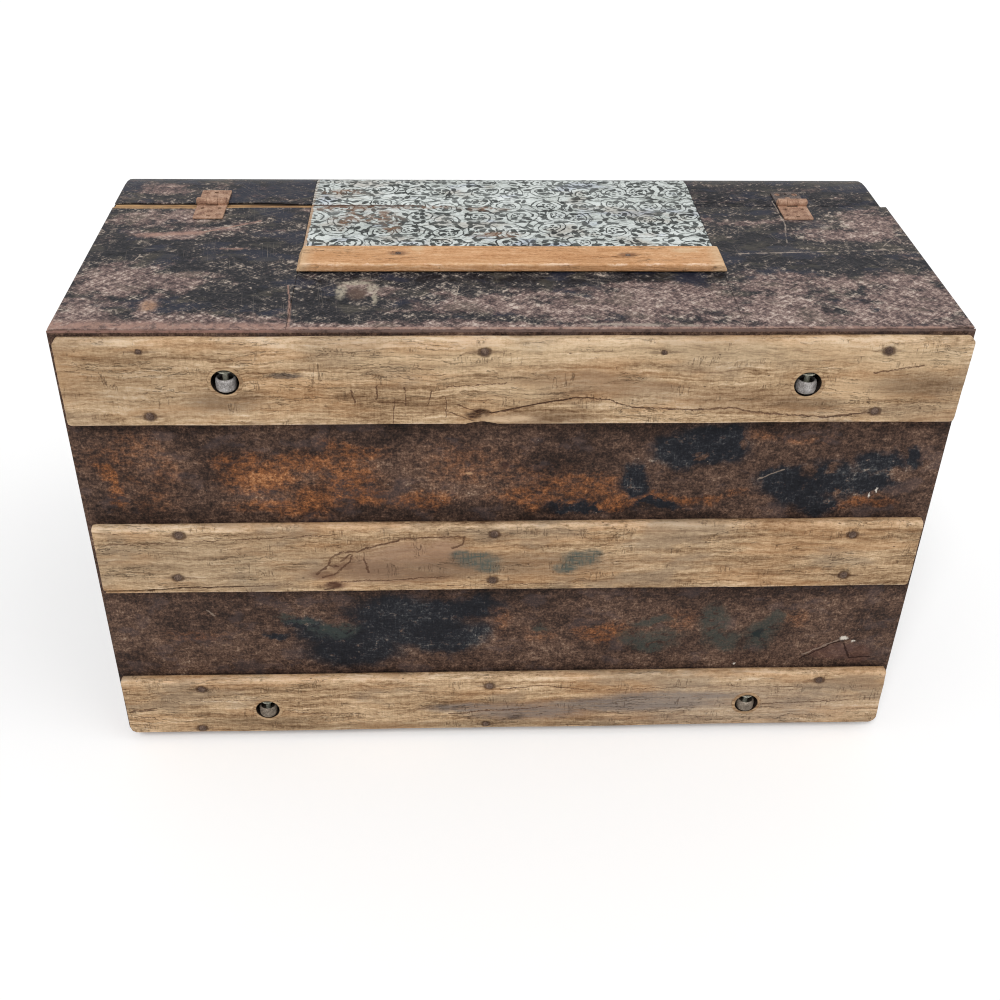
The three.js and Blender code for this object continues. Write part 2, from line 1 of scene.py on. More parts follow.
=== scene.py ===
# Dome top trunk lying on its front, dressed for close looking.
# Lengths are in metres, as in the frame: X along the trunk, Y from bottom to dome, Z from front to back.
import json
import math
import random

import bmesh
import bpy
from mathutils import Matrix, Vector


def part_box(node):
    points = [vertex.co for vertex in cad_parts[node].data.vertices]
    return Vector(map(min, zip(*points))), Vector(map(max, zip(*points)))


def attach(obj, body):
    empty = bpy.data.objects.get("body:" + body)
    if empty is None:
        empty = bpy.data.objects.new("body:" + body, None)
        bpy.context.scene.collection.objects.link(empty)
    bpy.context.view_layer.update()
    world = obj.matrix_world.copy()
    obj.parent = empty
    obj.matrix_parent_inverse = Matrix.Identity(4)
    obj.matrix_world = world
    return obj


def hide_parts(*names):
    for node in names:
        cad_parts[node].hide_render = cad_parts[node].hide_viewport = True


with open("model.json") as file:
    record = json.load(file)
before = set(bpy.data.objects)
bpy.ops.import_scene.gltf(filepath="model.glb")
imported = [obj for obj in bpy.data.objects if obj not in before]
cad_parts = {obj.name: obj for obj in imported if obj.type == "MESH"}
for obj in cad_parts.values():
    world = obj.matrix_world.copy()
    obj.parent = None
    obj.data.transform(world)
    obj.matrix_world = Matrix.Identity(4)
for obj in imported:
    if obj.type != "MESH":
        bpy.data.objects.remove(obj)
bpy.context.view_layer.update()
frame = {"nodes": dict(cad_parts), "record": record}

MM = 0.001
# Points nearer than this become one when a copy is merged
NEARLY_ONE = 0.01 * MM


# Places taken from the frame
def node_box(name):
    low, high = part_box(name)
    return Vector(low), Vector(high)


BODY_OF = {
    node: body for body, nodes in frame["record"]["behaviour"]["bodies"].items() for node in nodes}
BODY_LOW, BODY_HIGH = node_box("bottom_sheet")
SEAM = node_box("back_board")[1].y
BACK_TOP = node_box("back_sheet_left")[1].z
BOTTOM_FACE = node_box("bottom_slat_back")[0].y
TRUNK_BOTTOM = BODY_LOW.y
DOME_BASE = node_box("lid_back_rim")[1].y
PIN_AT = sum(end.y for end in node_box("hinge_pin_right")) / 2
DOME_RISE = 140 * MM


# Camera at the photograph's viewing angle
CAMERA_PLACE = Vector((-0.0607, -1.1621, 0.9550))
CAMERA_YAW = math.radians(2.98)
CAMERA_PITCH = math.radians(35.31)
CAMERA_ROLL = math.radians(-1.28)
FOCAL_SHARE = 1.26297
SENSOR = 36.0


def add_camera():
    forward = Vector((
        math.sin(CAMERA_YAW) * math.cos(CAMERA_PITCH),
        math.cos(CAMERA_YAW) * math.cos(CAMERA_PITCH),
        -math.sin(CAMERA_PITCH)))
    level = Vector((math.cos(CAMERA_YAW), -math.sin(CAMERA_YAW), 0.0))
    down = forward.cross(level)
    right = level * math.cos(CAMERA_ROLL) + down * math.sin(CAMERA_ROLL)
    below = down * math.cos(CAMERA_ROLL) - level * math.sin(CAMERA_ROLL)
    turn = Matrix((right, -below, -forward)).transposed().to_4x4()
    data = bpy.data.cameras.new("camera")
    data.sensor_width = SENSOR
    data.lens = SENSOR * FOCAL_SHARE
    camera = bpy.data.objects.new("camera", data)
    camera.matrix_world = Matrix.Translation(CAMERA_PLACE) @ turn
    bpy.context.scene.collection.objects.link(camera)
    bpy.context.scene.camera = camera


def paint(red, green, blue):
    """A colour written as it looks on a screen, from 0 to 255, as the shader wants it."""
    def linear(value):
        share = value / 255
        return share / 12.92 if share <= 0.04045 else ((share + 0.055) / 1.055) ** 2.4
    return (linear(red), linear(green), linear(blue), 1.0)


class Finish:
    """One node material, worked out from the place of each point on the trunk."""

    def __init__(self, name, roughness=0.7, metallic=0.0, specular=0.3):
        self.material = bpy.data.materials.new(name)
        self.material.use_nodes = True
        self.tree = self.material.node_tree
        self.tree.nodes.clear()
        output = self.node("ShaderNodeOutputMaterial")
        self.shader = self.node("ShaderNodeBsdfPrincipled")
        self.tree.links.new(self.shader.outputs[0], output.inputs[0])
        self.put("Roughness", roughness)
        self.put("Metallic", metallic)
        self.put("Specular IOR Level", specular)
        self.place = self.node("ShaderNodeTexCoord").outputs["Object"]

    def node(self, kind, **sockets):
        """A node with its sockets fed; an underscore stands for the space in a socket's name."""
        node = self.tree.nodes.new(kind)
        for name, value in sockets.items():
            self.feed(node.inputs[name.replace("_", " ")], value)
        return node

    def feed(self, socket, value):
        if isinstance(value, bpy.types.NodeSocket):
            self.tree.links.new(value, socket)
        else:
            socket.default_value = value

    def put(self, socket_name, value):
        self.feed(self.shader.inputs[socket_name], value)

    def calc(self, operation, *values, clamp=False):
        node = self.node("ShaderNodeMath")
        node.operation = operation
        node.use_clamp = clamp
        for socket, value in zip(node.inputs, values):
            self.feed(socket, value)
        return node.outputs[0]

    def plus(self, first, second):
        return self.calc("ADD", first, second)

    def minus(self, first, second):
        return self.calc("SUBTRACT", first, second)

    def times(self, *values):
        result = values[0]
        for value in values[1:]:
            result = self.calc("MULTIPLY", result, value)
        return result

    def most(self, *values):
        result = values[0]
        for value in values[1:]:
            result = self.calc("MAXIMUM", result, value)
        return result

    def less(self, value):
        return self.minus(1.0, value)

    def off_middle(self, value, middle=0.5):
        """How far a value is from its middle, so that a noise gives fine lines where this is low."""
        return self.calc("ABSOLUTE", self.minus(value, middle))

    def total(self, start, *terms):
        """A level moved up and down by noises; each term is a noise and its weight."""
        result = start
        for value, weight in terms:
            centred = self.minus(value, 0.5)
            result = self.plus(result, self.times(centred, weight))
        return result

    def vector(self, operation, first, second=(0, 0, 0)):
        node = self.node("ShaderNodeVectorMath")
        node.operation = operation
        self.feed(node.inputs[0], first)
        self.feed(node.inputs["Scale" if operation == "SCALE" else 1], second)
        return node.outputs["Value"] if operation in ("LENGTH", "DOT_PRODUCT") else node.outputs[0]

    def part(self, vector, letter):
        return self.node("ShaderNodeSeparateXYZ", Vector=vector).outputs[letter]

    def along(self, letter, *ends):
        """A step of the place along one axis."""
        return self.step(self.part(self.place, letter), *ends)

    def attribute(self, name):
        node = self.node("ShaderNodeAttribute")
        node.attribute_name = name
        return node.outputs["Fac"]

    def laid(self, size, stretch=(1, 1, 1), shift=0.0, place=None, turn=0.0):
        """The place counted in features of this size, turned about Z and drawn out along each axis."""
        place = place or self.place
        if turn:
            before = self.node("ShaderNodeVectorRotate", Vector=place, Angle=turn)
            before.rotation_type = "Z_AXIS"
            place = before.outputs[0]
        return self.node(
            "ShaderNodeMapping", Vector=place, Scale=[1 / (size * drawn) for drawn in stretch],
            Location=(shift, shift * 1.7, shift * 2.3)).outputs[0]

    def noise(self, size, stretch=(1, 1, 1), detail=4.0, rough=0.55, shift=0.0, **kept):
        return self.node(
            "ShaderNodeTexNoise", Vector=self.laid(size, stretch, shift, **kept), Scale=1.0,
            Detail=detail, Roughness=rough).outputs["Fac"]

    def patches(self, low, high, *noise, **kept):
        """Patches where a noise is high: 1 above high and 0 below low."""
        return self.step(self.noise(*noise, **kept), low, high)

    def wander(self, size, reach, shift=0.0, place=None):
        """The place pushed about by a noise, so that borders drawn on it are uneven."""
        node = self.node(
            "ShaderNodeTexNoise", Vector=self.laid(size, shift=shift, place=place), Scale=1.0,
            Detail=5.0, Roughness=0.65)
        push = self.vector("SUBTRACT", node.outputs["Color"], (0.5, 0.5, 0.5))
        return self.vector("ADD", place or self.place, self.vector("SCALE", push, reach))

    def flecks(self, size, stretch=(1, 1, 1), shift=0.0):
        """Distance from scattered points, in features of this size."""
        return self.node(
            "ShaderNodeTexVoronoi", Vector=self.laid(size, stretch, shift), Scale=1.0,
            Randomness=1.0).outputs["Distance"]

    def step(self, value, low, high, bottom=0.0, top=1.0):
        node = self.node("ShaderNodeMapRange")
        node.interpolation_type = "SMOOTHSTEP"
        for socket, number in zip(node.inputs, (value, low, high, bottom, top)):
            self.feed(socket, number)
        return node.outputs["Result"]

    def mix(self, first, second, share):
        node = self.node("ShaderNodeMix")
        node.data_type = "RGBA"
        self.feed(node.inputs[0], share)
        self.feed(node.inputs[6], first)
        self.feed(node.inputs[7], second)
        return node.outputs[2]

    def coat(self, under, tone, *shares):
        """A colour with a tone laid over it, as strong as all the shares multiplied."""
        return self.mix(under, paint(*tone), self.times(*shares))

    def ramp(self, value, stops):
        """Tones by value; stops are (value, (red, green, blue)) in rising order."""
        node = self.node("ShaderNodeValToRGB")
        self.feed(node.inputs[0], value)
        elements = node.color_ramp.elements
        while len(elements) < len(stops):
            elements.new(0.5)
        for element, (at, tone) in zip(elements, stops):
            element.position = at
            element.color = paint(*tone)
        return node.outputs[0]

    def spot(self, place, centre, reach, soft=0.45):
        """1 within an oval around centre and 0 outside; an axis whose reach is 0 doesn't count."""
        scale = [1 / half if half else 0.0 for half in reach]
        node = self.node(
            "ShaderNodeMapping", Vector=place, Scale=scale,
            Location=[-at * by for at, by in zip(centre, scale)])
        return self.step(self.vector("LENGTH", node.outputs[0]), 1 + soft, 1 - soft)

    def spots(self, place, list_of_spots, soft=0.45):
        return self.most(*[self.spot(place, centre, reach, soft) for centre, reach in list_of_spots])

    def stroke(self, place, start, end, half_width, soft=0.4):
        """1 along a straight stroke between two places, fading out at half_width from it."""
        reach = Vector(end) - Vector(start)
        from_start = self.vector("SUBTRACT", place, tuple(start))
        share = self.calc(
            "DIVIDE", self.vector("DOT_PRODUCT", from_start, tuple(reach)), reach.length_squared,
            clamp=True)
        away = self.vector("SUBTRACT", from_start, self.vector("SCALE", tuple(reach), share))
        distance = self.vector("LENGTH", away)
        return self.step(distance, half_width * (1 + soft), half_width * (1 - soft))

    def strokes(self, place, lines, soft=0.4):
        return self.most(*[self.stroke(place, *line, soft=soft) for line in lines])

    def relief(self, *layers):
        """Bumps laid over one another; each layer is a height, its depth in mm and its strength."""
        before = None
        for height, depth, strength in layers:
            node = self.node("ShaderNodeBump", Strength=strength, Distance=depth * MM, Height=height)
            if before is not None:
                self.feed(node.inputs["Normal"], before)
            before = node.outputs[0]
        self.put("Normal", before)


# Places and marks on the trunk's bottom and back, written in mm
def on_bottom(x_mm, below_back_mm):
    """A place on the bottom, from the trunk's middle and from its back plane down."""
    return (x_mm * MM, 0.0, BACK_TOP - below_back_mm * MM)


def on_back(x_mm, up_mm):
    """A place on the back, from the trunk's middle and up from the bottom slats' face."""
    return (x_mm * MM, BOTTOM_FACE + up_mm * MM, 0.0)


def bottom_spots(*rows):
    """Ovals on the bottom; each row is a place on it, then the oval's half length and half height."""
    return [
        (on_bottom(x, below), (half_length * MM, 0, half_height * MM))
        for x, below, half_length, half_height in rows]


def back_spots(*rows):
    """Ovals on the back, written in the same way."""
    return [
        (on_back(x, up), (half_length * MM, half_height * MM, 0))
        for x, up, half_length, half_height in rows]


def joined(place_of, runs):
    """Strokes from runs; each run is a half width and the points that it joins."""
    return [
        (place_of(*start), place_of(*end), half_width * MM)
        for half_width, *points in runs for start, end in zip(points, points[1:])]


def bottom_lines(*runs):
    return joined(on_bottom, runs)


def back_lines(*runs):
    return joined(on_back, runs)


# Modelling steps that the pieces share
def alone(piece):
    bpy.ops.object.select_all(action="DESELECT")
    piece.select_set(True)
    bpy.context.view_layer.objects.active = piece


def merge(piece):
    """Goes into edit mode with everything selected, and makes one of points that nearly meet."""
    alone(piece)
    bpy.ops.object.mode_set(mode="EDIT")
    bpy.ops.mesh.select_mode(type="VERT")
    bpy.ops.mesh.select_all(action="SELECT")
    bpy.ops.mesh.remove_doubles(threshold=NEARLY_ONE)


def leave():
    bpy.ops.object.mode_set(mode="OBJECT")


def cuboid(name, low, high):
    low, high = Vector(low), Vector(high)
    bpy.ops.object.select_all(action="DESELECT")
    bpy.ops.mesh.primitive_cube_add(size=1.0, location=(low + high) / 2, scale=high - low)
    piece = bpy.context.object
    piece.name = name
    bpy.ops.object.transform_apply()
    return piece


def turned(name, profile, centre, axis, steps):
    """A turned piece: a profile of radii and heights along the axis, drawn point by point and spun."""
    axis = Vector(axis).normalized()
    out = axis.orthogonal().normalized()
    centre = Vector(centre)
    points = [centre + out * radius + axis * along for radius, along in profile]
    bpy.ops.object.select_all(action="DESELECT")
    bpy.ops.mesh.primitive_plane_add(size=MM, location=points[0])
    piece = bpy.context.object
    piece.name = name
    bpy.ops.object.transform_apply()
    bpy.ops.object.mode_set(mode="EDIT")
    bpy.ops.mesh.select_mode(type="VERT")
    bpy.ops.mesh.select_all(action="SELECT")
    bpy.ops.mesh.merge(type="CENTER")
    for last, point in zip(points, points[1:]):
        bpy.ops.mesh.extrude_vertices_move(TRANSFORM_OT_translate={"value": point - last})
    bpy.ops.mesh.select_all(action="SELECT")
    bpy.ops.mesh.spin(steps=steps, angle=2 * math.pi, center=centre, axis=axis)
    bpy.ops.mesh.select_all(action="SELECT")
    bpy.ops.mesh.remove_doubles(threshold=2 * NEARLY_ONE)
    bpy.ops.mesh.normals_make_consistent(inside=False)
    leave()
    return piece


def apply_modifier(piece, kind, **settings):
    alone(piece)
    modifier = piece.modifiers.new("step", kind)
    for setting, value in settings.items():
        setattr(modifier, setting, value)
    bpy.ops.object.modifier_apply(modifier=modifier.name)


def join(pieces, name):
    bpy.ops.object.select_all(action="DESELECT")
    for piece in pieces:
        piece.select_set(True)
    bpy.context.view_layer.objects.active = pieces[0]
    if len(pieces) > 1:
        bpy.ops.object.join()
    pieces[0].name = name
    return pieces[0]


def carve(piece, cutters):
    """Takes the cutters out of the piece and clears them away."""
    if not cutters:
        return
    tools = bpy.data.collections.new("tools")
    bpy.context.scene.collection.children.link(tools)
    for cutter in cutters:
        bpy.context.scene.collection.objects.unlink(cutter)
        tools.objects.link(cutter)
    apply_modifier(
        piece, "BOOLEAN", operation="DIFFERENCE", solver="MANIFOLD", operand_type="COLLECTION",
        collection=tools)
    for cutter in cutters:
        bpy.data.objects.remove(cutter, do_unlink=True)
    bpy.data.collections.remove(tools)


def roughen(piece, size, reach, stretch, shift):
    """Wears the surface in by a cloudy texture, drawn out along each axis by its stretch."""
    clouds = bpy.data.textures.new("clouds", "CLOUDS")
    clouds.noise_scale = 1.0
    clouds.noise_depth = 3
    bpy.ops.object.empty_add(location=(shift, shift * 0.7, shift * 0.3))
    spread = bpy.context.object
    spread.scale = [size * drawn for drawn in stretch]
    bpy.context.view_layer.update()
    apply_modifier(
        piece, "DISPLACE", texture=clouds, texture_coords="OBJECT", texture_coords_object=spread,
        strength=reach, mid_level=1.0)
    bpy.data.objects.remove(spread, do_unlink=True)


def smooth(piece, degrees=35.0):
    alone(piece)
    bpy.ops.object.shade_smooth_by_angle(angle=math.radians(degrees))


def hand_over(piece, body, slot, material, *nodes):
    """Gives a finished piece its material and its body, and hides the nodes that it stands for; the slot is
    not used.
    """
    piece.data.materials.clear()
    piece.data.materials.append(material)
    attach(piece, body)
    if nodes:
        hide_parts(*nodes)


def copied(node, name):
    """A merged copy of a node's mesh, with flat areas in one face each."""
    piece = bpy.data.objects.new(name, frame["nodes"][node].data.copy())
    bpy.context.scene.collection.objects.link(piece)
    merge(piece)
    bpy.ops.mesh.dissolve_limited(angle_limit=math.radians(1.0))
    leave()
    return piece


def softened(node, name, ease):
    """A copy of a node with its sharp edges rounded off."""
    piece = copied(node, name)
    apply_modifier(
        piece, "BEVEL", width=ease, segments=2, limit_method="ANGLE", angle_limit=math.radians(40.0),
        miter_outer="MITER_ARC", use_clamp_overlap=True)
    smooth(piece)
    return piece


# Tones of the materials, from dark to pale
PALE_STOPS = [
    (0.05, (58, 39, 28)), (0.26, (108, 80, 57)), (0.44, (150, 121, 91)),
    (0.58, (181, 151, 117)), (0.76, (214, 184, 148)), (0.95, (236, 213, 184))]
TAN_STOPS = [
    (0.05, (92, 58, 38)), (0.3, (158, 108, 70)), (0.5, (198, 146, 102)),
    (0.7, (222, 172, 128)), (0.95, (240, 206, 166))]
BOARD_STOPS = [
    (0.1, (84, 54, 34)), (0.4, (146, 104, 66)), (0.6, (184, 142, 94)), (0.9, (214, 176, 126))]
RUST_TONES = [
    (0.1, (54, 32, 22)), (0.35, (94, 59, 38)), (0.52, (130, 80, 46)), (0.68, (162, 100, 56)),
    (0.9, (206, 146, 94))]
BOTTOM_TONES = [
    (0.1, (33, 26, 24)), (0.35, (61, 47, 41)), (0.5, (86, 66, 56)), (0.65, (112, 88, 74)),
    (0.8, (144, 120, 102)), (0.95, (186, 166, 144))]
BLACK_TONES = [
    (0.1, (18, 19, 23)), (0.45, (32, 33, 38)), (0.62, (48, 49, 53)), (0.78, (80, 80, 80)),
    (0.95, (140, 138, 132))]
DARK_TONES = [
    (0.10, (17, 17, 21)), (0.34, (31, 31, 36)), (0.5, (53, 51, 54)), (0.62, (88, 82, 79)),
    (0.74, (132, 122, 114)), (0.9, (186, 173, 160))]
WORN_TONES = [
    (0.10, (46, 37, 38)), (0.34, (84, 69, 68)), (0.5, (118, 99, 95)), (0.64, (146, 126, 119)),
    (0.8, (178, 158, 148)), (0.95, (208, 192, 181))]
TIN_TONES = [
    (0.1, (134, 137, 127)), (0.35, (187, 193, 188)), (0.55, (215, 221, 218)), (0.85, (240, 244, 242))]
LEATHER_TONES = [
    (0.15, (38, 24, 18)), (0.45, (72, 44, 30)), (0.65, (104, 68, 46)), (0.9, (150, 112, 82))]
RUSTY_TONES = [(120, 87, 72), (168, 132, 109), (202, 169, 144)]
CUP_TONES = [(22, 17, 15), (44, 35, 30), (92, 78, 68)]
# Values at which the three tones of an iron stand
IRON_STOPS = (0.2, 0.5, 0.85)

# Nails of the bottom slats, and how large the odd ones are beside the rest
NAIL_SIZES = {(-312, 14): 0.6, (122, 16): 0.55, (-303, 202): 1.12, (-22, 447): 0.8}
BOTTOM_NAILS = {
    "bottom_slat_back": [
        (-312, 14), (-311, 76), (-28, 15), (122, 16), (312, 15), (311, 74)],
    "bottom_slat_middle": [
        (-303, 202), (-310, 251), (-17, 204), (-18, 258), (316, 208), (316, 256)],
    "bottom_slat_front": [
        (-305, 393), (-310, 447), (-19, 394), (-22, 447), (315, 392)],
}
# Nails of the back slat: place along the trunk and up from the slat's lower edge, in mm
BACK_SLAT_NAILS = [(-102.7, 24), (106.4, 20)]
# Pale chips and a painted highlight along the lower arris of the back slat: place along the trunk and half
# length, in mm
SLAT_CHIPS_AND_HIGHLIGHTS = [
    (-186, 7), (-165, 12), (-129, 6), (-108, 9), (-70, 9), (-6, 14), (42, 16), (96, 8), (128, 12), (168, 14)]


# Weathered wood, and how strong its cross notches are unless a piece has its own
NOTCHES = 0.45


def weathered_wood(name, stops, shift, level=0.56, worn_and_lit_edges=(), nails=(), marks=(), grey=0.28,
                   hairlines=(), stains=(), calm=1.0, notches=NOTCHES):
    """Dry softwood with its grain along X.

    worn_and_lit_edges are (centre, reach) of arrises painted pale, partly rubbed wear and partly a painted
    highlight, nails are (place, size) with rust round them, marks are (tone, strength, spots) of soft
    stains, hairlines are (start, end, half width) of fine cracks and stains are (tone, strength, spots) of
    brushed paint."""
    wood = Finish(name, roughness=0.85, specular=0.12)
    bent = wood.wander(0.07, 0.016, shift)
    broad = wood.noise(0.06, (2.6, 1, 0.9), 4.0, 0.55, shift)
    bands = wood.noise(0.0055, (17, 1.5, 1), 5.0, 0.66, shift + 3, place=bent)
    fine = wood.noise(0.0016, (20, 1.5, 1), 5.0, 0.75, shift + 5, place=bent)
    speck = wood.noise(0.0026, (1.8, 1, 1), 5.0, 0.78, shift + 9)
    sawn = wood.noise(0.0014, (0.8, 1, 12), 3.0, 0.6, shift + 13)
    value = wood.total(
        level, (fine, 1.05), (bands, 1.0 * calm), (broad, 0.65 * calm), (speck, 0.75), (sawn, 0.25))
    if worn_and_lit_edges:
        # The arrises are painted pale: partly rubbed wear, partly a painted highlight where the rounded edge
        # catches the light.
        rubbed = wood.spots(wood.wander(0.012, 0.005, shift + 6), worn_and_lit_edges, 0.55)
        broken = wood.noise(0.012, (2.2, 1, 1), 4.0, 0.65, shift + 49)
        rubbed = wood.times(rubbed, wood.step(broken, 0.36, 0.56, 0.25, 1.0))
        value = wood.plus(value, wood.times(rubbed, 0.25))
    colour = wood.ramp(value, stops)
    if worn_and_lit_edges:
        colour = wood.coat(colour, (232, 198, 164), rubbed, wood.step(speck, 0.4, 0.6), 0.5)
    warm = wood.patches(0.46, 0.62, 0.035, (3.4, 1, 0.7), 4.0, 0.6, shift + 37)
    colour = wood.coat(colour, (200, 150, 104), warm, 0.3)
    dulled = wood.patches(0.5, 0.62, 0.045, (2.4, 1, 1), 4.0, 0.6, shift + 15)
    colour = wood.coat(colour, (146, 128, 108), dulled, grey)
    for tone, strength, places in marks:
        frayed = wood.wander(0.007, 0.007, shift + 2)
        mask = wood.times(wood.spots(frayed, places, 0.5), wood.step(fine, 0.3, 0.56, 0.4, 1.0))
        colour = wood.coat(colour, tone, mask, strength)
    for tone, strength, places in stains:
        brushed = wood.most(
            wood.noise(0.0016, (1, 1, 9), 3.0, 0.7, shift + 41),
            wood.noise(0.0018, (9, 1, 1), 3.0, 0.7, shift + 43))
        mask = wood.times(wood.spots(wood.wander(0.009, 0.008, shift + 45), places, 0.4),
                          wood.step(brushed, 0.44, 0.62, 0.5, 1.0))
        colour = wood.coat(colour, tone, mask, strength)
    checks = wood.off_middle(wood.noise(0.0055, (22, 1, 1), 4.0, 0.6, shift + 17, place=bent))
    where = wood.patches(0.49, 0.6, 0.018, (3, 1, 1), 3.0, 0.55, shift + 21)
    check = wood.times(wood.step(checks, 0.010, 0.002), where)
    colour = wood.coat(colour, (78, 54, 40), check, 0.5)
    cross = wood.off_middle(wood.noise(0.006, (1, 1, 7), 3.0, 0.6, shift + 25))
    here = wood.patches(0.56, 0.64, 0.016, (1.6, 1, 0.8), 2.0, 0.5, shift + 27)
    notch = wood.times(wood.step(cross, 0.014, 0.004), here)
    colour = wood.coat(colour, (92, 66, 48), notch, notches)
    if hairlines:
        shaky = wood.wander(0.007, 0.0065, shift + 47)
        flat = wood.vector("MULTIPLY", shaky, (1, 0, 1))
        crack = wood.strokes(flat, hairlines, 0.5)
        crack = wood.times(crack, wood.step(speck, 0.36, 0.5, 0.35, 1.0))
        colour = wood.coat(colour, (84, 56, 42), crack, 0.85)
    if nails:
        near_nail = wood.wander(0.004, 0.0035, shift + 30)
        rusty = wood.spots(
            near_nail, [(at, (0.0064 * size, 0, 0.0047 * size)) for at, size in nails], 0.25)
        tail = wood.spots(
            near_nail, [(at, (0.0130, 0, 0.0014)) for at, size in nails], 0.5)
        colour = wood.coat(colour, (64, 42, 33), wood.most(wood.times(rusty, 0.82), wood.times(tail, 0.5)))
    split = wood.attribute("split")
    colour = wood.coat(colour, (70, 48, 36), wood.step(split, 0.66, 0.92))
    pit = wood.step(wood.flecks(0.016, (1.6, 1, 1), shift + 33), 0.06, 0.03)
    colour = wood.coat(colour, (70, 50, 38), pit, 0.7)
    wood.put("Base Color", colour)
    uncut = wood.less(wood.most(check, wood.times(notch, notches / NOTCHES)))
    wood.relief((bands, 1.2, 0.6), (fine, 0.9, 0.9), (uncut, 0.9, 0.9), (speck, 0.5, 0.6))
    wood.put("Roughness", wood.step(value, 0.3, 0.8, 0.92, 0.72))
    return wood.material


def arris(y_at, z_at, reach_mm):
    """The rubbed edge of a slat, as a long rod of pale wear and painted highlight along X."""
    return (0.0, y_at, z_at), (0, reach_mm * MM, reach_mm * MM)


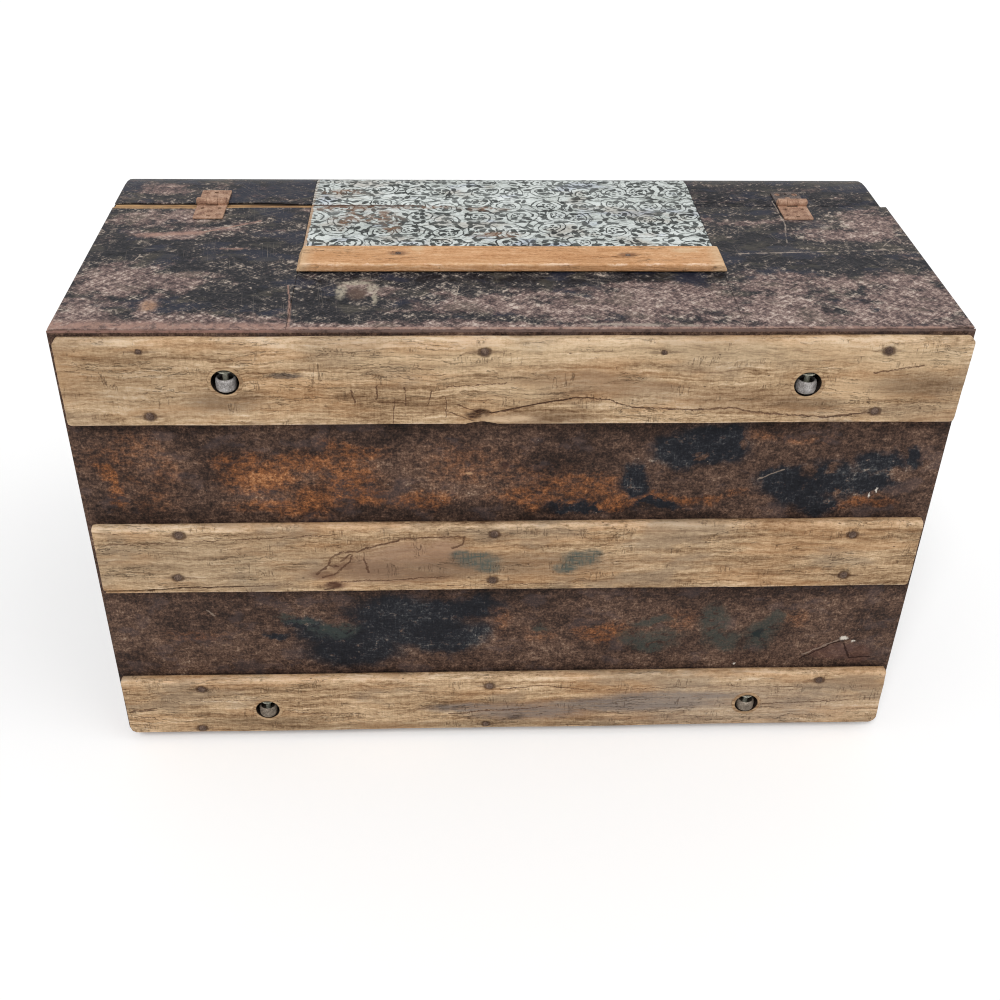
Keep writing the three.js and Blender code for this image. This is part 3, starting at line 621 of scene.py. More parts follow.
def slat_finishes():
    """A finish of its own for each slat of the bottom, with its stains where they are."""
    finishes = {}
    looks = {
        "bottom_slat_back": {"shift": 0.0, "level": 0.585, "grey": 0.32, "marks": [
            ((78, 70, 68), 0.85, bottom_spots((-194, 37, 14, 2.6))),
            ((136, 110, 84), 0.35, bottom_spots((-335, 40, 60, 30), (-290, 62, 50, 20))),
            ((222, 196, 160), 0.4, bottom_spots(
                (60, 14, 100, 10), (220, 16, 100, 10), (-60, 24, 80, 10), (330, 22, 50, 14),
                (0, 52, 30, 12), (290, 52, 50, 12))),
            ((136, 104, 78), 0.4, bottom_spots(
                (50, 42, 60, 12), (110, 50, 45, 6), (180, 62, 50, 12))),
            ((92, 70, 54), 0.55, bottom_spots(
                (-244, 62, 30, 10), (248, 66, 30, 8), (20, 80, 50, 7), (345, 48, 40, 12))),
            ((58, 36, 28), 1.0, bottom_spots((-31, 74, 8, 4.2), (-38, 76, 6, 3))),
            ((222, 192, 158), 0.8, bottom_spots((-6, 80, 22, 3.5))),
        ], "hairlines": bottom_lines(
            (0.8, (345, 29), (304, 36)), (0.6, (-24, 75), (20, 65), (49, 59), (78, 61), (98, 69)),
            (0.7, (98, 69), (154, 72)), (0.9, (154, 72), (183, 70)), (0.8, (183, 70), (211, 75), (270, 80)),
            (0.9, (270, 80), (306, 75)), (0.4, (-60, 48), (-10, 45)), (0.6, (-140, 51), (-138, 63)),
            (0.7, (-118, 47), (-119, 60)), (0.5, (-95, 49), (-95, 66)), (0.6, (-72, 52), (-76, 66)),
            (0.5, (-60, 58), (-60, 78)), (0.4, (-104, 60), (-106, 84)), (0.6, (-50, 66), (-30, 74)),
            (0.5, (-60, 72), (-36, 82)))},
        "bottom_slat_middle": {"shift": 11.0, "level": 0.545, "grey": 0.5, "marks": [
            ((156, 140, 118), 0.35, bottom_spots((-290, 236, 100, 30))),
            ((176, 142, 116), 0.75, bottom_spots(
                (-125, 240, 30, 14), (-95, 226, 35, 14), (-66, 222, 20, 12))),
            ((112, 84, 66), 0.4, bottom_spots((-95, 236, 70, 22))),
            ((136, 106, 84), 0.6, bottom_spots((-110, 252, 60, 8), (-60, 240, 30, 12))),
            ((112, 78, 60), 0.7, bottom_spots(
                (-176, 250, 12, 5), (-165, 262, 12, 4), (-157, 240, 10, 4))),
            ((122, 98, 78), 0.55, bottom_spots((-90, 244, 100, 10), (20, 240, 90, 14))),
            ((70, 42, 34), 0.95, bottom_spots((-166, 261, 8, 3.5))),
        ], "stains": [
            ((82, 90, 84), 0.92, bottom_spots(
                (-33, 233, 21, 9), (-46, 228, 12, 6), (-22, 243, 12, 6), (64, 233, 18, 9), (50, 244, 12, 6),
                (74, 228, 10, 6)))],
         "hairlines": bottom_lines(
             (1.1, (-182, 248), (-174, 242), (-166, 229), (-159, 224)),
             (1, (-159, 224), (-143, 222), (-125, 216), (-103, 209), (-85, 207)),
             (0.9, (-85, 207), (-44, 207)), (1.1, (-44, 207), (-46, 215), (-56, 219)),
             (1, (-148, 227), (-150, 234), (-165, 249)), (1, (-159, 233), (-150, 226)),
             (1, (-170, 238), (-162, 240)), (1, (-165, 249), (-176, 252)), (1.3, (-170, 259), (-161, 262)),
             (1.1, (-161, 262), (-174, 267)), (0.9, (-137, 230), (-133, 247)),
             (1, (-382, 266), (-345, 266)), (0.8, (-345, 266), (-300, 263)),
             (0.6, (-300, 263), (-240, 262)), (0.4, (-240, 262), (-205, 260)),
             (0.4, (-384, 213), (-300, 210)), (0.4, (-290, 209), (-160, 203)),
             (0.6, (-160, 258), (-60, 253)), (0.4, (60, 262), (-60, 264)))},
        "bottom_slat_front": {"shift": 23.0, "level": 0.545, "grey": 0.5, "marks": [
            ((120, 112, 108), 0.8, bottom_spots(
                (120, 422, 100, 9), (20, 430, 60, 11), (170, 412, 70, 6), (-40, 424, 40, 6))),
            ((150, 138, 128), 0.4, bottom_spots((235, 425, 130, 30))),
            ((74, 60, 54), 0.7, bottom_spots((9, 438, 10, 3.5))),
            ((98, 84, 66), 0.4, bottom_spots((-60, 448, 200, 6), (-240, 438, 60, 6))),
        ], "hairlines": bottom_lines(
            (0.7, (-60, 432), (-20, 428)), (0.6, (-20, 428), (40, 424)), (0.3, (-378, 408), (-200, 410)),
            (0.4, (100, 402), (180, 399)), (0.3, (220, 399), (300, 401)),
            (0.5, (-8, 399), (30, 394), (77, 400)), (0.5, (262, 424), (350, 421)),
            (0.4, (-260, 424), (-150, 430)), (0.7, (-378, 422), (-352, 419)),
            (0.6, (-376, 430), (-356, 432)))},
    }
    for node, look in looks.items():
        low, high = node_box(node)
        # The upper arris gets a wide band of pale wear and painted highlight; the lower one gets a narrow
        # band of wear.
        edges = [arris(low.y, high.z, 6.0), arris(low.y, low.z, 2.5)]
        nails = [(on_bottom(x, below), NAIL_SIZES.get((x, below), 1.0)) for x, below in BOTTOM_NAILS[node]]
        finishes[node] = weathered_wood(
            node, PALE_STOPS, look["shift"], look["level"], edges, nails, look["marks"], look["grey"],
            hairlines=look["hairlines"], stains=look.get("stains", ()))
    return finishes


def tan_wood():
    """Warmer wood of the back slat, rubbed along its lower arris, with pale chips and a broken painted
    highlight there.
    """
    low, high = node_box("back_slat")
    # Pale dashes along the lower arris: chips in the wood, and a painted highlight where the edge catches
    # the light.
    chips = [
        ((x * MM, low.y + 1.0 * MM, high.z), (half_length * MM, 0.9 * MM, 2.4 * MM))
        for x, half_length in SLAT_CHIPS_AND_HIGHLIGHTS]
    round_nails = [
        ((x * MM, low.y + up * MM, high.z), (9 * MM, 4.5 * MM, 0)) for x, up in BACK_SLAT_NAILS]
    bare = [
        ((low.x, 0, 0), (12 * MM, 0, 0)), ((high.x, 0, 0), (14 * MM, 0, 0)),
        ((-85 * MM, low.y + 38 * MM, 0), (6 * MM, 10 * MM, 0)),
        ((160 * MM, low.y + 30 * MM, 0), (12 * MM, 5 * MM, 0))]
    return weathered_wood(
        "tan_slat", TAN_STOPS, 7.0, 0.62, [arris(low.y, high.z, 2.2)], marks=[
            ((250, 220, 192), 0.8, chips), ((118, 82, 62), 0.75, round_nails),
            ((226, 194, 156), 0.7, bare)],
        grey=0.04, calm=0.55, notches=0.0)


def board_wood():
    """Plain sawn boards, seen at the seam and inside."""
    wood = Finish("board_wood", roughness=0.85, specular=0.2)
    broad = wood.noise(0.06, (3, 1, 1), 3.0, 0.5)
    bands = wood.noise(0.008, (30, 1, 1), 5.0, 0.6, 2.0)
    fine = wood.noise(0.0018, (30, 1, 1), 4.0, 0.6, 5.0)
    value = wood.total(0.55, (fine, 1.0), (bands, 0.8), (broad, 0.8))
    colour = wood.ramp(value, BOARD_STOPS)
    at_back = wood.along("Z", BACK_TOP - 6 * MM, BACK_TOP - 3 * MM)
    past_start = wood.along("X", -0.11, -0.07)
    painted = wood.times(at_back, past_start)
    colour = wood.coat(colour, (92, 90, 86), painted, 0.8)
    # Near the bottom edge at the back, the board is darkened where it shows between the back sheet's edge
    # and the slat: grime, and painted shade of that gap.
    grime_and_gap_shade = wood.along("Y", TRUNK_BOTTOM + 14 * MM, TRUNK_BOTTOM + 10 * MM)
    colour = wood.coat(colour, (46, 35, 31), grime_and_gap_shade, at_back, 0.9)
    wavy = wood.noise(0.03, (1.6, 1, 1), 3.0, 0.5, 7.0)
    shaky = wood.plus(wood.part(wood.place, "Y"), wood.times(wood.minus(wavy, 0.5), 0.007))
    at_seam = wood.times(
        wood.along("Y", SEAM - 12 * MM, SEAM - 8 * MM), at_back,
        wood.along("X", -0.18, -0.19))
    tan = wood.mix(paint(162, 120, 78), paint(214, 178, 132), wood.step(fine, 0.3, 0.62))
    soiled = wood.times(wood.patches(0.42, 0.58, 0.022, (1.8, 1, 1), 4.0, 0.6, 21.0), 0.55)
    tan = wood.coat(tan, (116, 88, 68), soiled)
    colour = wood.mix(colour, tan, wood.times(at_seam, 0.7))
    # Above the seam the lid's rim is painted near black: a painted shadow under the lid sheet's lower edge.
    seam_shadow = wood.times(
        wood.step(shaky, SEAM + 3.9 * MM, SEAM + 4.7 * MM),
        wood.along("Y", SEAM + 16 * MM, SEAM + 14 * MM), at_back)
    colour = wood.coat(colour, (34, 26, 22), seam_shadow, 0.92)
    wood.put("Base Color", colour)
    wood.relief((fine, 0.5, 0.7))
    return wood.material


def rusty_sheet():
    """Dark paint of the bottom, with rust coming through and black paint left in patches."""
    sheet = Finish("rusty_sheet", roughness=0.8, specular=0.08)
    loose = sheet.wander(0.05, 0.045)
    frayed = sheet.wander(0.009, 0.014, 4.0, place=loose)
    grain = sheet.noise(0.0024, (1, 1, 1), 3.0, 0.75, 8.0)
    speck = sheet.noise(0.006, (1.4, 1, 1), 4.0, 0.72, 3.0)
    cloud = sheet.noise(0.035, (1.7, 1, 1), 5.0, 0.6, 1.0)
    weave = sheet.most(
        sheet.noise(0.0016, (9, 1, 1), 2.0, 0.6, 17.0), sheet.noise(0.0016, (1, 1, 9), 2.0, 0.6, 19.0))
    value = sheet.total(0.462, (grain, 1.0), (speck, 0.95), (cloud, 0.75), (weave, 0.4))
    # Darker bands along the slats' edges, and a few spots: grime, and under each slat a painted shadow of
    # it.
    dirt_and_shade_places = bottom_spots(
        (-60, 97, 600, 9), (-60, 187, 500, 8), (0, 282, 600, 10), (0, 386, 600, 6), (-230, 105, 60, 20),
        (0, 106, 50, 16), (50, 130, 40, 20))
    value = sheet.minus(value, sheet.times(sheet.spots(frayed, dirt_and_shade_places, 0.6), 0.1))
    colour = sheet.ramp(value, BOTTOM_TONES)
    purple = sheet.patches(0.52, 0.64, 0.02, (1.5, 1, 1), 3.0, 0.6, 24.0)
    colour = sheet.coat(colour, (92, 80, 80), purple, 0.28)
    rust_places = bottom_spots(
        (-362, 139, 6, 16), (-357, 168, 10, 14), (-224, 146, 32, 18), (-240, 132, 30, 12),
        (-180, 172, 24, 16), (-133, 165, 18, 14), (-142, 117, 30, 10), (-150, 145, 28, 22),
        (-190, 132, 30, 14), (-205, 178, 50, 8), (-85, 172, 30, 12), (20, 172, 40, 12), (60, 160, 40, 16),
        (84, 172, 26, 10), (140, 172, 70, 6), (320, 182, 30, 7), (95, 331, 30, 12))
    faint_places = bottom_spots(
        (95, 331, 36, 16), (28, 332, 20, 12), (165, 322, 16, 20), (285, 322, 14, 10), (-300, 330, 30, 8),
        (-14, 320, 12, 24), (-158, 305, 14, 6), (-40, 135, 50, 24), (10, 150, 50, 20), (-340, 124, 40, 20),
        (-340, 150, 22, 8), (-322, 172, 24, 14), (-308, 140, 16, 20), (235, 108, 50, 7))
    rust = sheet.most(
        sheet.spots(loose, rust_places, 0.75), sheet.times(sheet.spots(loose, faint_places, 0.75), 0.5))
    rusted = sheet.step(sheet.plus(speck, sheet.times(rust, 0.12)), 0.4, 0.74)
    rusted = sheet.times(rusted, sheet.step(rust, 0.02, 0.9))
    bright_places = bottom_spots(
        (-224, 149, 18, 10), (-181, 174, 16, 10), (-133, 168, 7, 5), (-160, 167, 8, 3), (-360, 150, 6, 16),
        (101, 176, 14, 4))
    bright = sheet.spots(frayed, bright_places, 0.6)
    rust_value = sheet.plus(value, sheet.times(bright, 0.12))
    amount = sheet.most(
        sheet.times(rusted, 0.66), sheet.times(bright, sheet.step(grain, 0.3, 0.6), 0.7))
    colour = sheet.mix(colour, sheet.ramp(rust_value, RUST_TONES), amount)
    black_places = bottom_spots(
        (172, 108, 30, 22), (190, 104, 16, 16), (150, 122, 30, 18), (106, 149, 14, 16), (182, 122, 26, 18),
        (112, 160, 12, 10), (252, 158, 30, 18), (304, 158, 34, 14), (-110, 326, 55, 24), (285, 148, 34, 16),
        (330, 136, 22, 16), (262, 165, 28, 16), (282, 180, 22, 12), (326, 160, 22, 10), (240, 150, 16, 10),
        (358, 130, 6, 12), (-115, 302, 50, 18), (-88, 316, 50, 20), (-150, 350, 50, 26),
        (-178, 330, 28, 14), (-50, 300, 45, 12), (-60, 336, 40, 22), (-222, 338, 14, 4),
        (-198, 316, 20, 10), (130, 178, 20, 5), (60, 180, 30, 5))
    black = sheet.spots(frayed, black_places, 0.35)
    hole_places = bottom_spots(
        (167, 125, 4, 4), (266, 143, 7, 8), (289, 141, 7, 6), (300, 168, 4, 3), (200, 118, 3, 4),
        (345, 150, 8, 6))
    black = sheet.times(black, sheet.less(sheet.spots(frayed, hole_places, 0.5)))
    kept = sheet.times(black, sheet.step(speck, 0.72, 0.58, 0.45, 1.0))
    brushed = sheet.plus(value, sheet.times(sheet.step(weave, 0.5, 0.8), 0.09))
    colour = sheet.mix(colour, sheet.ramp(brushed, BLACK_TONES), kept)
    green_places = bottom_spots(
        (144, 345, 24, 12), (120, 338, 18, 10), (200, 326, 16, 24), (215, 342, 16, 12), (250, 336, 18, 18),
        (262, 322, 12, 8), (140, 318, 20, 6), (-205, 312, 20, 5), (-170, 324, 20, 10),
        (30, 320, 10, 6))
    green = sheet.times(sheet.spots(frayed, green_places, 0.45), sheet.step(speck, 0.36, 0.52))
    colour = sheet.coat(colour, (58, 66, 62), green, 0.72)
    core = sheet.spot(frayed, on_bottom(246, 338), (0.007, 0, 0.005), 0.5)
    colour = sheet.coat(colour, (30, 40, 42), core, 0.8)
    peel = sheet.spots(sheet.wander(0.006, 0.004, 9.0), bottom_spots(
        (330, 362, 30, 11), (352, 366, 14, 12)), 0.25)
    colour = sheet.coat(colour, (104, 72, 64), peel, 0.35)
    ragged = sheet.wander(0.005, 0.005, 14.0)
    flat = sheet.vector("MULTIPLY", ragged, (1, 0, 1))
    torn = sheet.strokes(flat, bottom_lines(
        (0.7, (294, 372), (322, 353), (334, 348)), (0.8, (336, 352), (344, 371)),
        (0.6, (344, 371), (366, 370))))
    colour = sheet.coat(colour, (40, 25, 22), torn, 0.8)
    # A dark oval at a dent: painted shade, since the dent has no relief.
    dent_shade = sheet.spot(ragged, on_bottom(-8, 135), (0.0034, 0, 0.0034), 0.3)
    colour = sheet.coat(colour, (58, 38, 34), dent_shade, 0.6)
    pale = sheet.most(
        sheet.strokes(flat, bottom_lines(
            (0.7, (222, 152), (244, 141)), (0.7, (296, 366), (330, 347)),
            (0.8, (-290, 300), (-284, 306)))),
        sheet.step(sheet.flecks(0.019, (1, 1, 1), 3.0), 0.04, 0.025))
    colour = sheet.coat(colour, (160, 142, 126), pale, 0.55)
    chips = sheet.spots(sheet.vector("MULTIPLY", sheet.wander(0.003, 0.006, 21.0), (1, 0, 1)), bottom_spots(
        (335, 345, 4, 2.2), (345, 349, 2.2, 1), (228, 377, 1.4, 1.2), (327, 170, 0.9, 2.2),
        (333, 165, 0.9, 2.8)), 0.4)
    colour = sheet.coat(colour, (220, 212, 200), chips, 0.9)
    bare_chip = sheet.spot(ragged, on_bottom(-40, 143), (0.0032, 0, 0.0014), 0.4)
    colour = sheet.coat(colour, (190, 150, 114), bare_chip, 0.8)
    height = sheet.part(sheet.wander(0.02, 0.0012, 71.0), "Z")
    rolled = sheet.step(height, BACK_TOP - 2.4 * MM, BACK_TOP - 1.7 * MM)
    left = sheet.step(sheet.part(loose, "X"), -0.17, -0.21)
    rolled_tone = sheet.mix(paint(112, 94, 88), paint(150, 117, 106), left)
    rolled = sheet.times(rolled, sheet.step(speck, 0.34, 0.54, 0.4, 1.0))
    colour = sheet.mix(colour, rolled_tone, sheet.times(rolled, 0.9))
    sheet.put("Base Color", colour)
    whole = sheet.less(sheet.most(torn, sheet.times(peel, 0.4)))
    sheet.relief((whole, 1.2, 0.8), (cloud, 2.5, 0.5), (speck, 0.8, 0.6), (grain, 0.4, 0.6))
    sheet.put("Roughness", sheet.minus(sheet.step(speck, 0.35, 0.65, 0.62, 0.88), sheet.times(kept, 0.2)))
    return sheet.material


def dark_sheet():
    """Blue-black paint over sheet iron, rubbed through to brown and scratched pale."""
    sheet = Finish("dark_sheet", roughness=0.75, specular=0.08)
    loose = sheet.wander(0.05, 0.04)
    grain = sheet.noise(0.0024, (1.2, 1.9, 1.2), 3.0, 0.75, 8.0)
    speck = sheet.noise(0.0052, (1.4, 1.8, 1.4), 4.0, 0.72, 3.0)
    streak = sheet.noise(0.0042, (7, 1.4, 1.4), 4.0, 0.65, 12.0)
    scuff = sheet.noise(0.0018, (8, 1.2, 1.2), 3.0, 0.65, 51.0, turn=0.62)
    cross_scuff = sheet.noise(0.0018, (8, 1.2, 1.2), 3.0, 0.65, 55.0, turn=-0.75)
    cloud = sheet.noise(0.035, (1.8, 1, 1), 5.0, 0.62, 1.0)
    patch = sheet.noise(0.010, (1.8, 1.2, 1.2), 3.0, 0.6, 58.0)
    worn_places = back_spots(
        (0, 15, 600, 10), (-372, 42, 30, 30), (-350, 105, 36, 32), (-300, 100, 50, 20), (-312, 205, 50, 8),
        (-275, 214, 50, 5), (-320, 245, 50, 16), (-250, 173, 16, 3), (-312, 50, 12, 16), (-260, 28, 80, 14),
        (130, 62, 85, 36), (60, 50, 60, 20), (-20, 60, 50, 20), (355, 106, 32, 22), (292, 100, 32, 16),
        (232, 100, 30, 20), (340, 60, 60, 36), (230, 50, 50, 30), (290, 36, 100, 20), (240, 240, 40, 8),
        (360, 230, 30, 30), (320, 205, 50, 12), (-340, 315, 30, 12), (-130, 90, 20, 14))
    worn = sheet.spots(loose, worn_places, 0.8)
    dark_places = back_spots(
        (-330, 172, 50, 22), (-240, 85, 50, 35), (-240, 180, 50, 30), (0, 108, 160, 10), (115, 109, 100, 8),
        (-165, 60, 26, 36), (240, 180, 50, 30), (230, 148, 50, 10), (300, 140, 70, 14), (276, 40, 12, 14),
        (308, 70, 12, 14), (312, 90, 4, 60), (230, 255, 30, 20), (-255, 250, 20, 14))
    dark = sheet.spots(loose, dark_places, 0.7)
    level = sheet.minus(sheet.times(worn, 0.09), sheet.times(dark, 0.10))
    on_lid = sheet.along("Y", SEAM, SEAM + 2 * MM, 0.487, 0.415)
    level = sheet.plus(level, on_lid)
    value = sheet.total(
        level, (grain, 1.3), (speck, 1.1), (streak, 0.55), (scuff, 0.9), (cross_scuff, 0.9),
        (patch, 0.5), (cloud, 0.4))
    rubbed = sheet.noise(0.012, (1.9, 1.4, 1.4), 5.0, 0.7, 44.0)
    rubbed = sheet.minus(sheet.plus(rubbed, sheet.times(worn, 0.28)), sheet.times(dark, 0.16))
    bared = sheet.step(rubbed, 0.52, 0.74)
    colour = sheet.mix(sheet.ramp(value, DARK_TONES), sheet.ramp(value, WORN_TONES), bared)
    olive = sheet.patches(0.54, 0.64, 0.024, (1.6, 1, 1), 3.0, 0.6, 26.0)
    colour = sheet.coat(colour, (104, 98, 84), olive, 0.25)
    blue = sheet.patches(0.52, 0.62, 0.03, (1.6, 1, 1), 3.0, 0.6, 33.0)
    colour = sheet.coat(colour, (46, 52, 72), blue, sheet.less(bared), 0.35)
    flat = sheet.vector("MULTIPLY", sheet.wander(0.012, 0.004, 9.0), (1, 1, 0))
    pink = sheet.strokes(flat, back_lines(
        (4, (-347, 203), (-292, 209)), (1.6, (-292, 209), (-239, 237)), (1.4, (-267, 173), (-248, 173)),
        (0.7, (-198, 96), (-192, 50)), (1.2, (-193, 60), (-190, 12)), (7.5, (-384, 21), (-290, 19)),
        (5.8, (-290, 19), (-196, 18)), (2.2, (-196, 15), (196, 14)), (2.6, (196, 14), (384, 14))), 0.8)
    pink = sheet.times(pink, sheet.step(speck, 0.36, 0.56, 0.3, 1.0))
    colour = sheet.coat(colour, (172, 137, 123), pink, 0.78)
    pale = scratches(sheet, [(0.15, 1.0), (-0.5, 5.0), (0.9, 9.0), (1.45, 14.0)])
    colour = sheet.coat(colour, (150, 140, 130), pale, 0.4)
    long_marks = sheet.strokes(flat, back_lines(
        (1.2, (209, 162), (324, 169)), (1.4, (324, 169), (373, 173)), (0.6, (273, 290), (273, 231)),
        (0.7, (273, 231), (265, 187)), (0.6, (356, 180), (380, 208)), (0.6, (-342, 142), (-339, 161)),
        (0.5, (-48, 94), (-53, 61)), (2.2, (60, 22), (150, 19))), 0.6)
    long_marks = sheet.times(long_marks, sheet.step(speck, 0.4, 0.54, 0.1, 1.0))
    colour = sheet.coat(colour, (172, 158, 146), long_marks, 0.75)
    near_blotch = sheet.wander(0.008, 0.008, 62.0)
    blotch = sheet.spots(near_blotch, back_spots(
        (-139, 100, 14, 4), (-151, 84, 4.5, 14), (-124, 90, 5, 9), (-121, 72, 2.2, 12)), 0.5)
    colour = sheet.coat(colour, (178, 168, 150), blotch, sheet.step(grain, 0.34, 0.56, 0.2, 1.0), 0.8)
    hollow = sheet.spot(near_blotch, on_back(-137, 79), (0.009, 0.012, 0), 0.5)
    colour = sheet.coat(colour, (88, 70, 62), hollow, sheet.step(speck, 0.36, 0.54, 0.3, 1.0), 0.85)
    orange = sheet.spot(near_blotch, on_back(-312, 56), (0.006, 0.009, 0), 0.6)
    colour = sheet.coat(colour, (180, 140, 110), orange, sheet.step(grain, 0.3, 0.6, 0.3, 1.0), 0.75)
    above_seam = sheet.along("Y", SEAM + 1.4 * MM, SEAM + 1.6 * MM)
    far_left = sheet.step(sheet.part(flat, "X"), -0.24, -0.29, 0.0, 4 * MM)
    strip_place = sheet.plus(sheet.part(flat, "Y"), far_left)
    below_strip = sheet.step(strip_place, SEAM - 4.0 * MM, SEAM - 2.0 * MM)
    left_half = sheet.step(sheet.part(flat, "X"), -0.2, -0.21)
    strip = sheet.times(below_strip, sheet.less(above_seam), left_half)
    colour = sheet.coat(colour, (184, 146, 104), strip, sheet.step(grain, 0.3, 0.6, 0.6, 1.0), 0.88)
    # Just over the seam at the left, the lid sheet's lowest strip is painted near black: a painted shadow
    # under the lid's edge.
    lid_edge_shadow = sheet.times(
        sheet.step(strip_place, SEAM + 10.5 * MM, SEAM + 8.5 * MM), above_seam, left_half)
    colour = sheet.coat(colour, (24, 19, 17), lid_edge_shadow, 0.85)
    # Dark lines at the body's lower right corner: painted shade in the sheet's creases, which have no
    # relief.
    crease_shade = sheet.strokes(flat, back_lines(
        (0.7, (370, 17), (386, 12)), (0.6, (376, 21), (385, 10)), (0.6, (366, 13), (380, 15))), 0.5)
    colour = sheet.coat(colour, (34, 27, 26), crease_shade, 0.7)
    sheet.put("Base Color", colour)
    sheet.relief((sheet.less(long_marks), 0.4, 0.6), (cloud, 2.5, 0.5), (speck, 0.8, 0.6), (grain, 0.4, 0.6))
    sheet.put("Roughness", sheet.step(value, 0.3, 0.75, 0.45, 0.85))
    return sheet.material


def scratches(sheet, turns, size=0.014):
    """Fine scratches in several directions, each where its own noise allows."""
    marks = []
    for turn, shift in turns:
        line = sheet.noise(size, (9, 0.05, 0.05), 2.0, 0.5, shift, turn=turn)
        where = sheet.patches(0.5, 0.6, 0.03, (1, 1, 1), 2.0, 0.5, shift + 4)
        marks.append(sheet.times(sheet.step(line, 0.64, 0.69), where))
    return sheet.most(*marks)


# Scrolls and small flowers printed on the tin, and where its paint ends at the left
MOTIF = 33 * MM
LEAF = 10.5 * MM
PITCH = 0.17
FULL_TURN = 6.28
BARE_EDGE = -190 * MM


def along_tin(tin):
    """Places on the tin as if it lay flat: along the trunk, and up the back and round the dome."""
    x, y, z = [tin.part(tin.place, letter) for letter in "XYZ"]
    half_depth = (BODY_HIGH.z - BODY_LOW.z) / 2
    above = tin.calc("MAXIMUM", tin.minus(y, DOME_BASE), 0.0)
    rise = tin.calc("DIVIDE", above, DOME_RISE)
    back = tin.calc("DIVIDE", tin.minus(z, (BODY_HIGH.z + BODY_LOW.z) / 2), half_depth)
    angle = tin.calc("ARCTAN2", rise, back)
    double = tin.calc("SINE", tin.calc("MULTIPLY", angle, 2.0))
    bulge = tin.minus(angle, tin.calc("MULTIPLY", double, 0.5))
    arc = tin.plus(tin.calc("MULTIPLY", angle, DOME_RISE),
                   tin.calc("MULTIPLY", bulge, (half_depth - DOME_RISE) / 2))
    up = tin.plus(tin.calc("MINIMUM", y, DOME_BASE), arc)
    return tin.node("ShaderNodeCombineXYZ", X=x, Y=up).outputs[0]


def scattered(tin, size, spread, place):
    """Place from the nearest of a scatter of points, counted in this size, and its random numbers."""
    laid = tin.vector("SCALE", place, 1 / size)
    node = tin.node("ShaderNodeTexVoronoi", Scale=1.0, Randomness=spread, Vector=laid)
    node.voronoi_dimensions = "2D"
    return tin.vector("SUBTRACT", laid, node.outputs["Position"]), node.outputs["Color"]


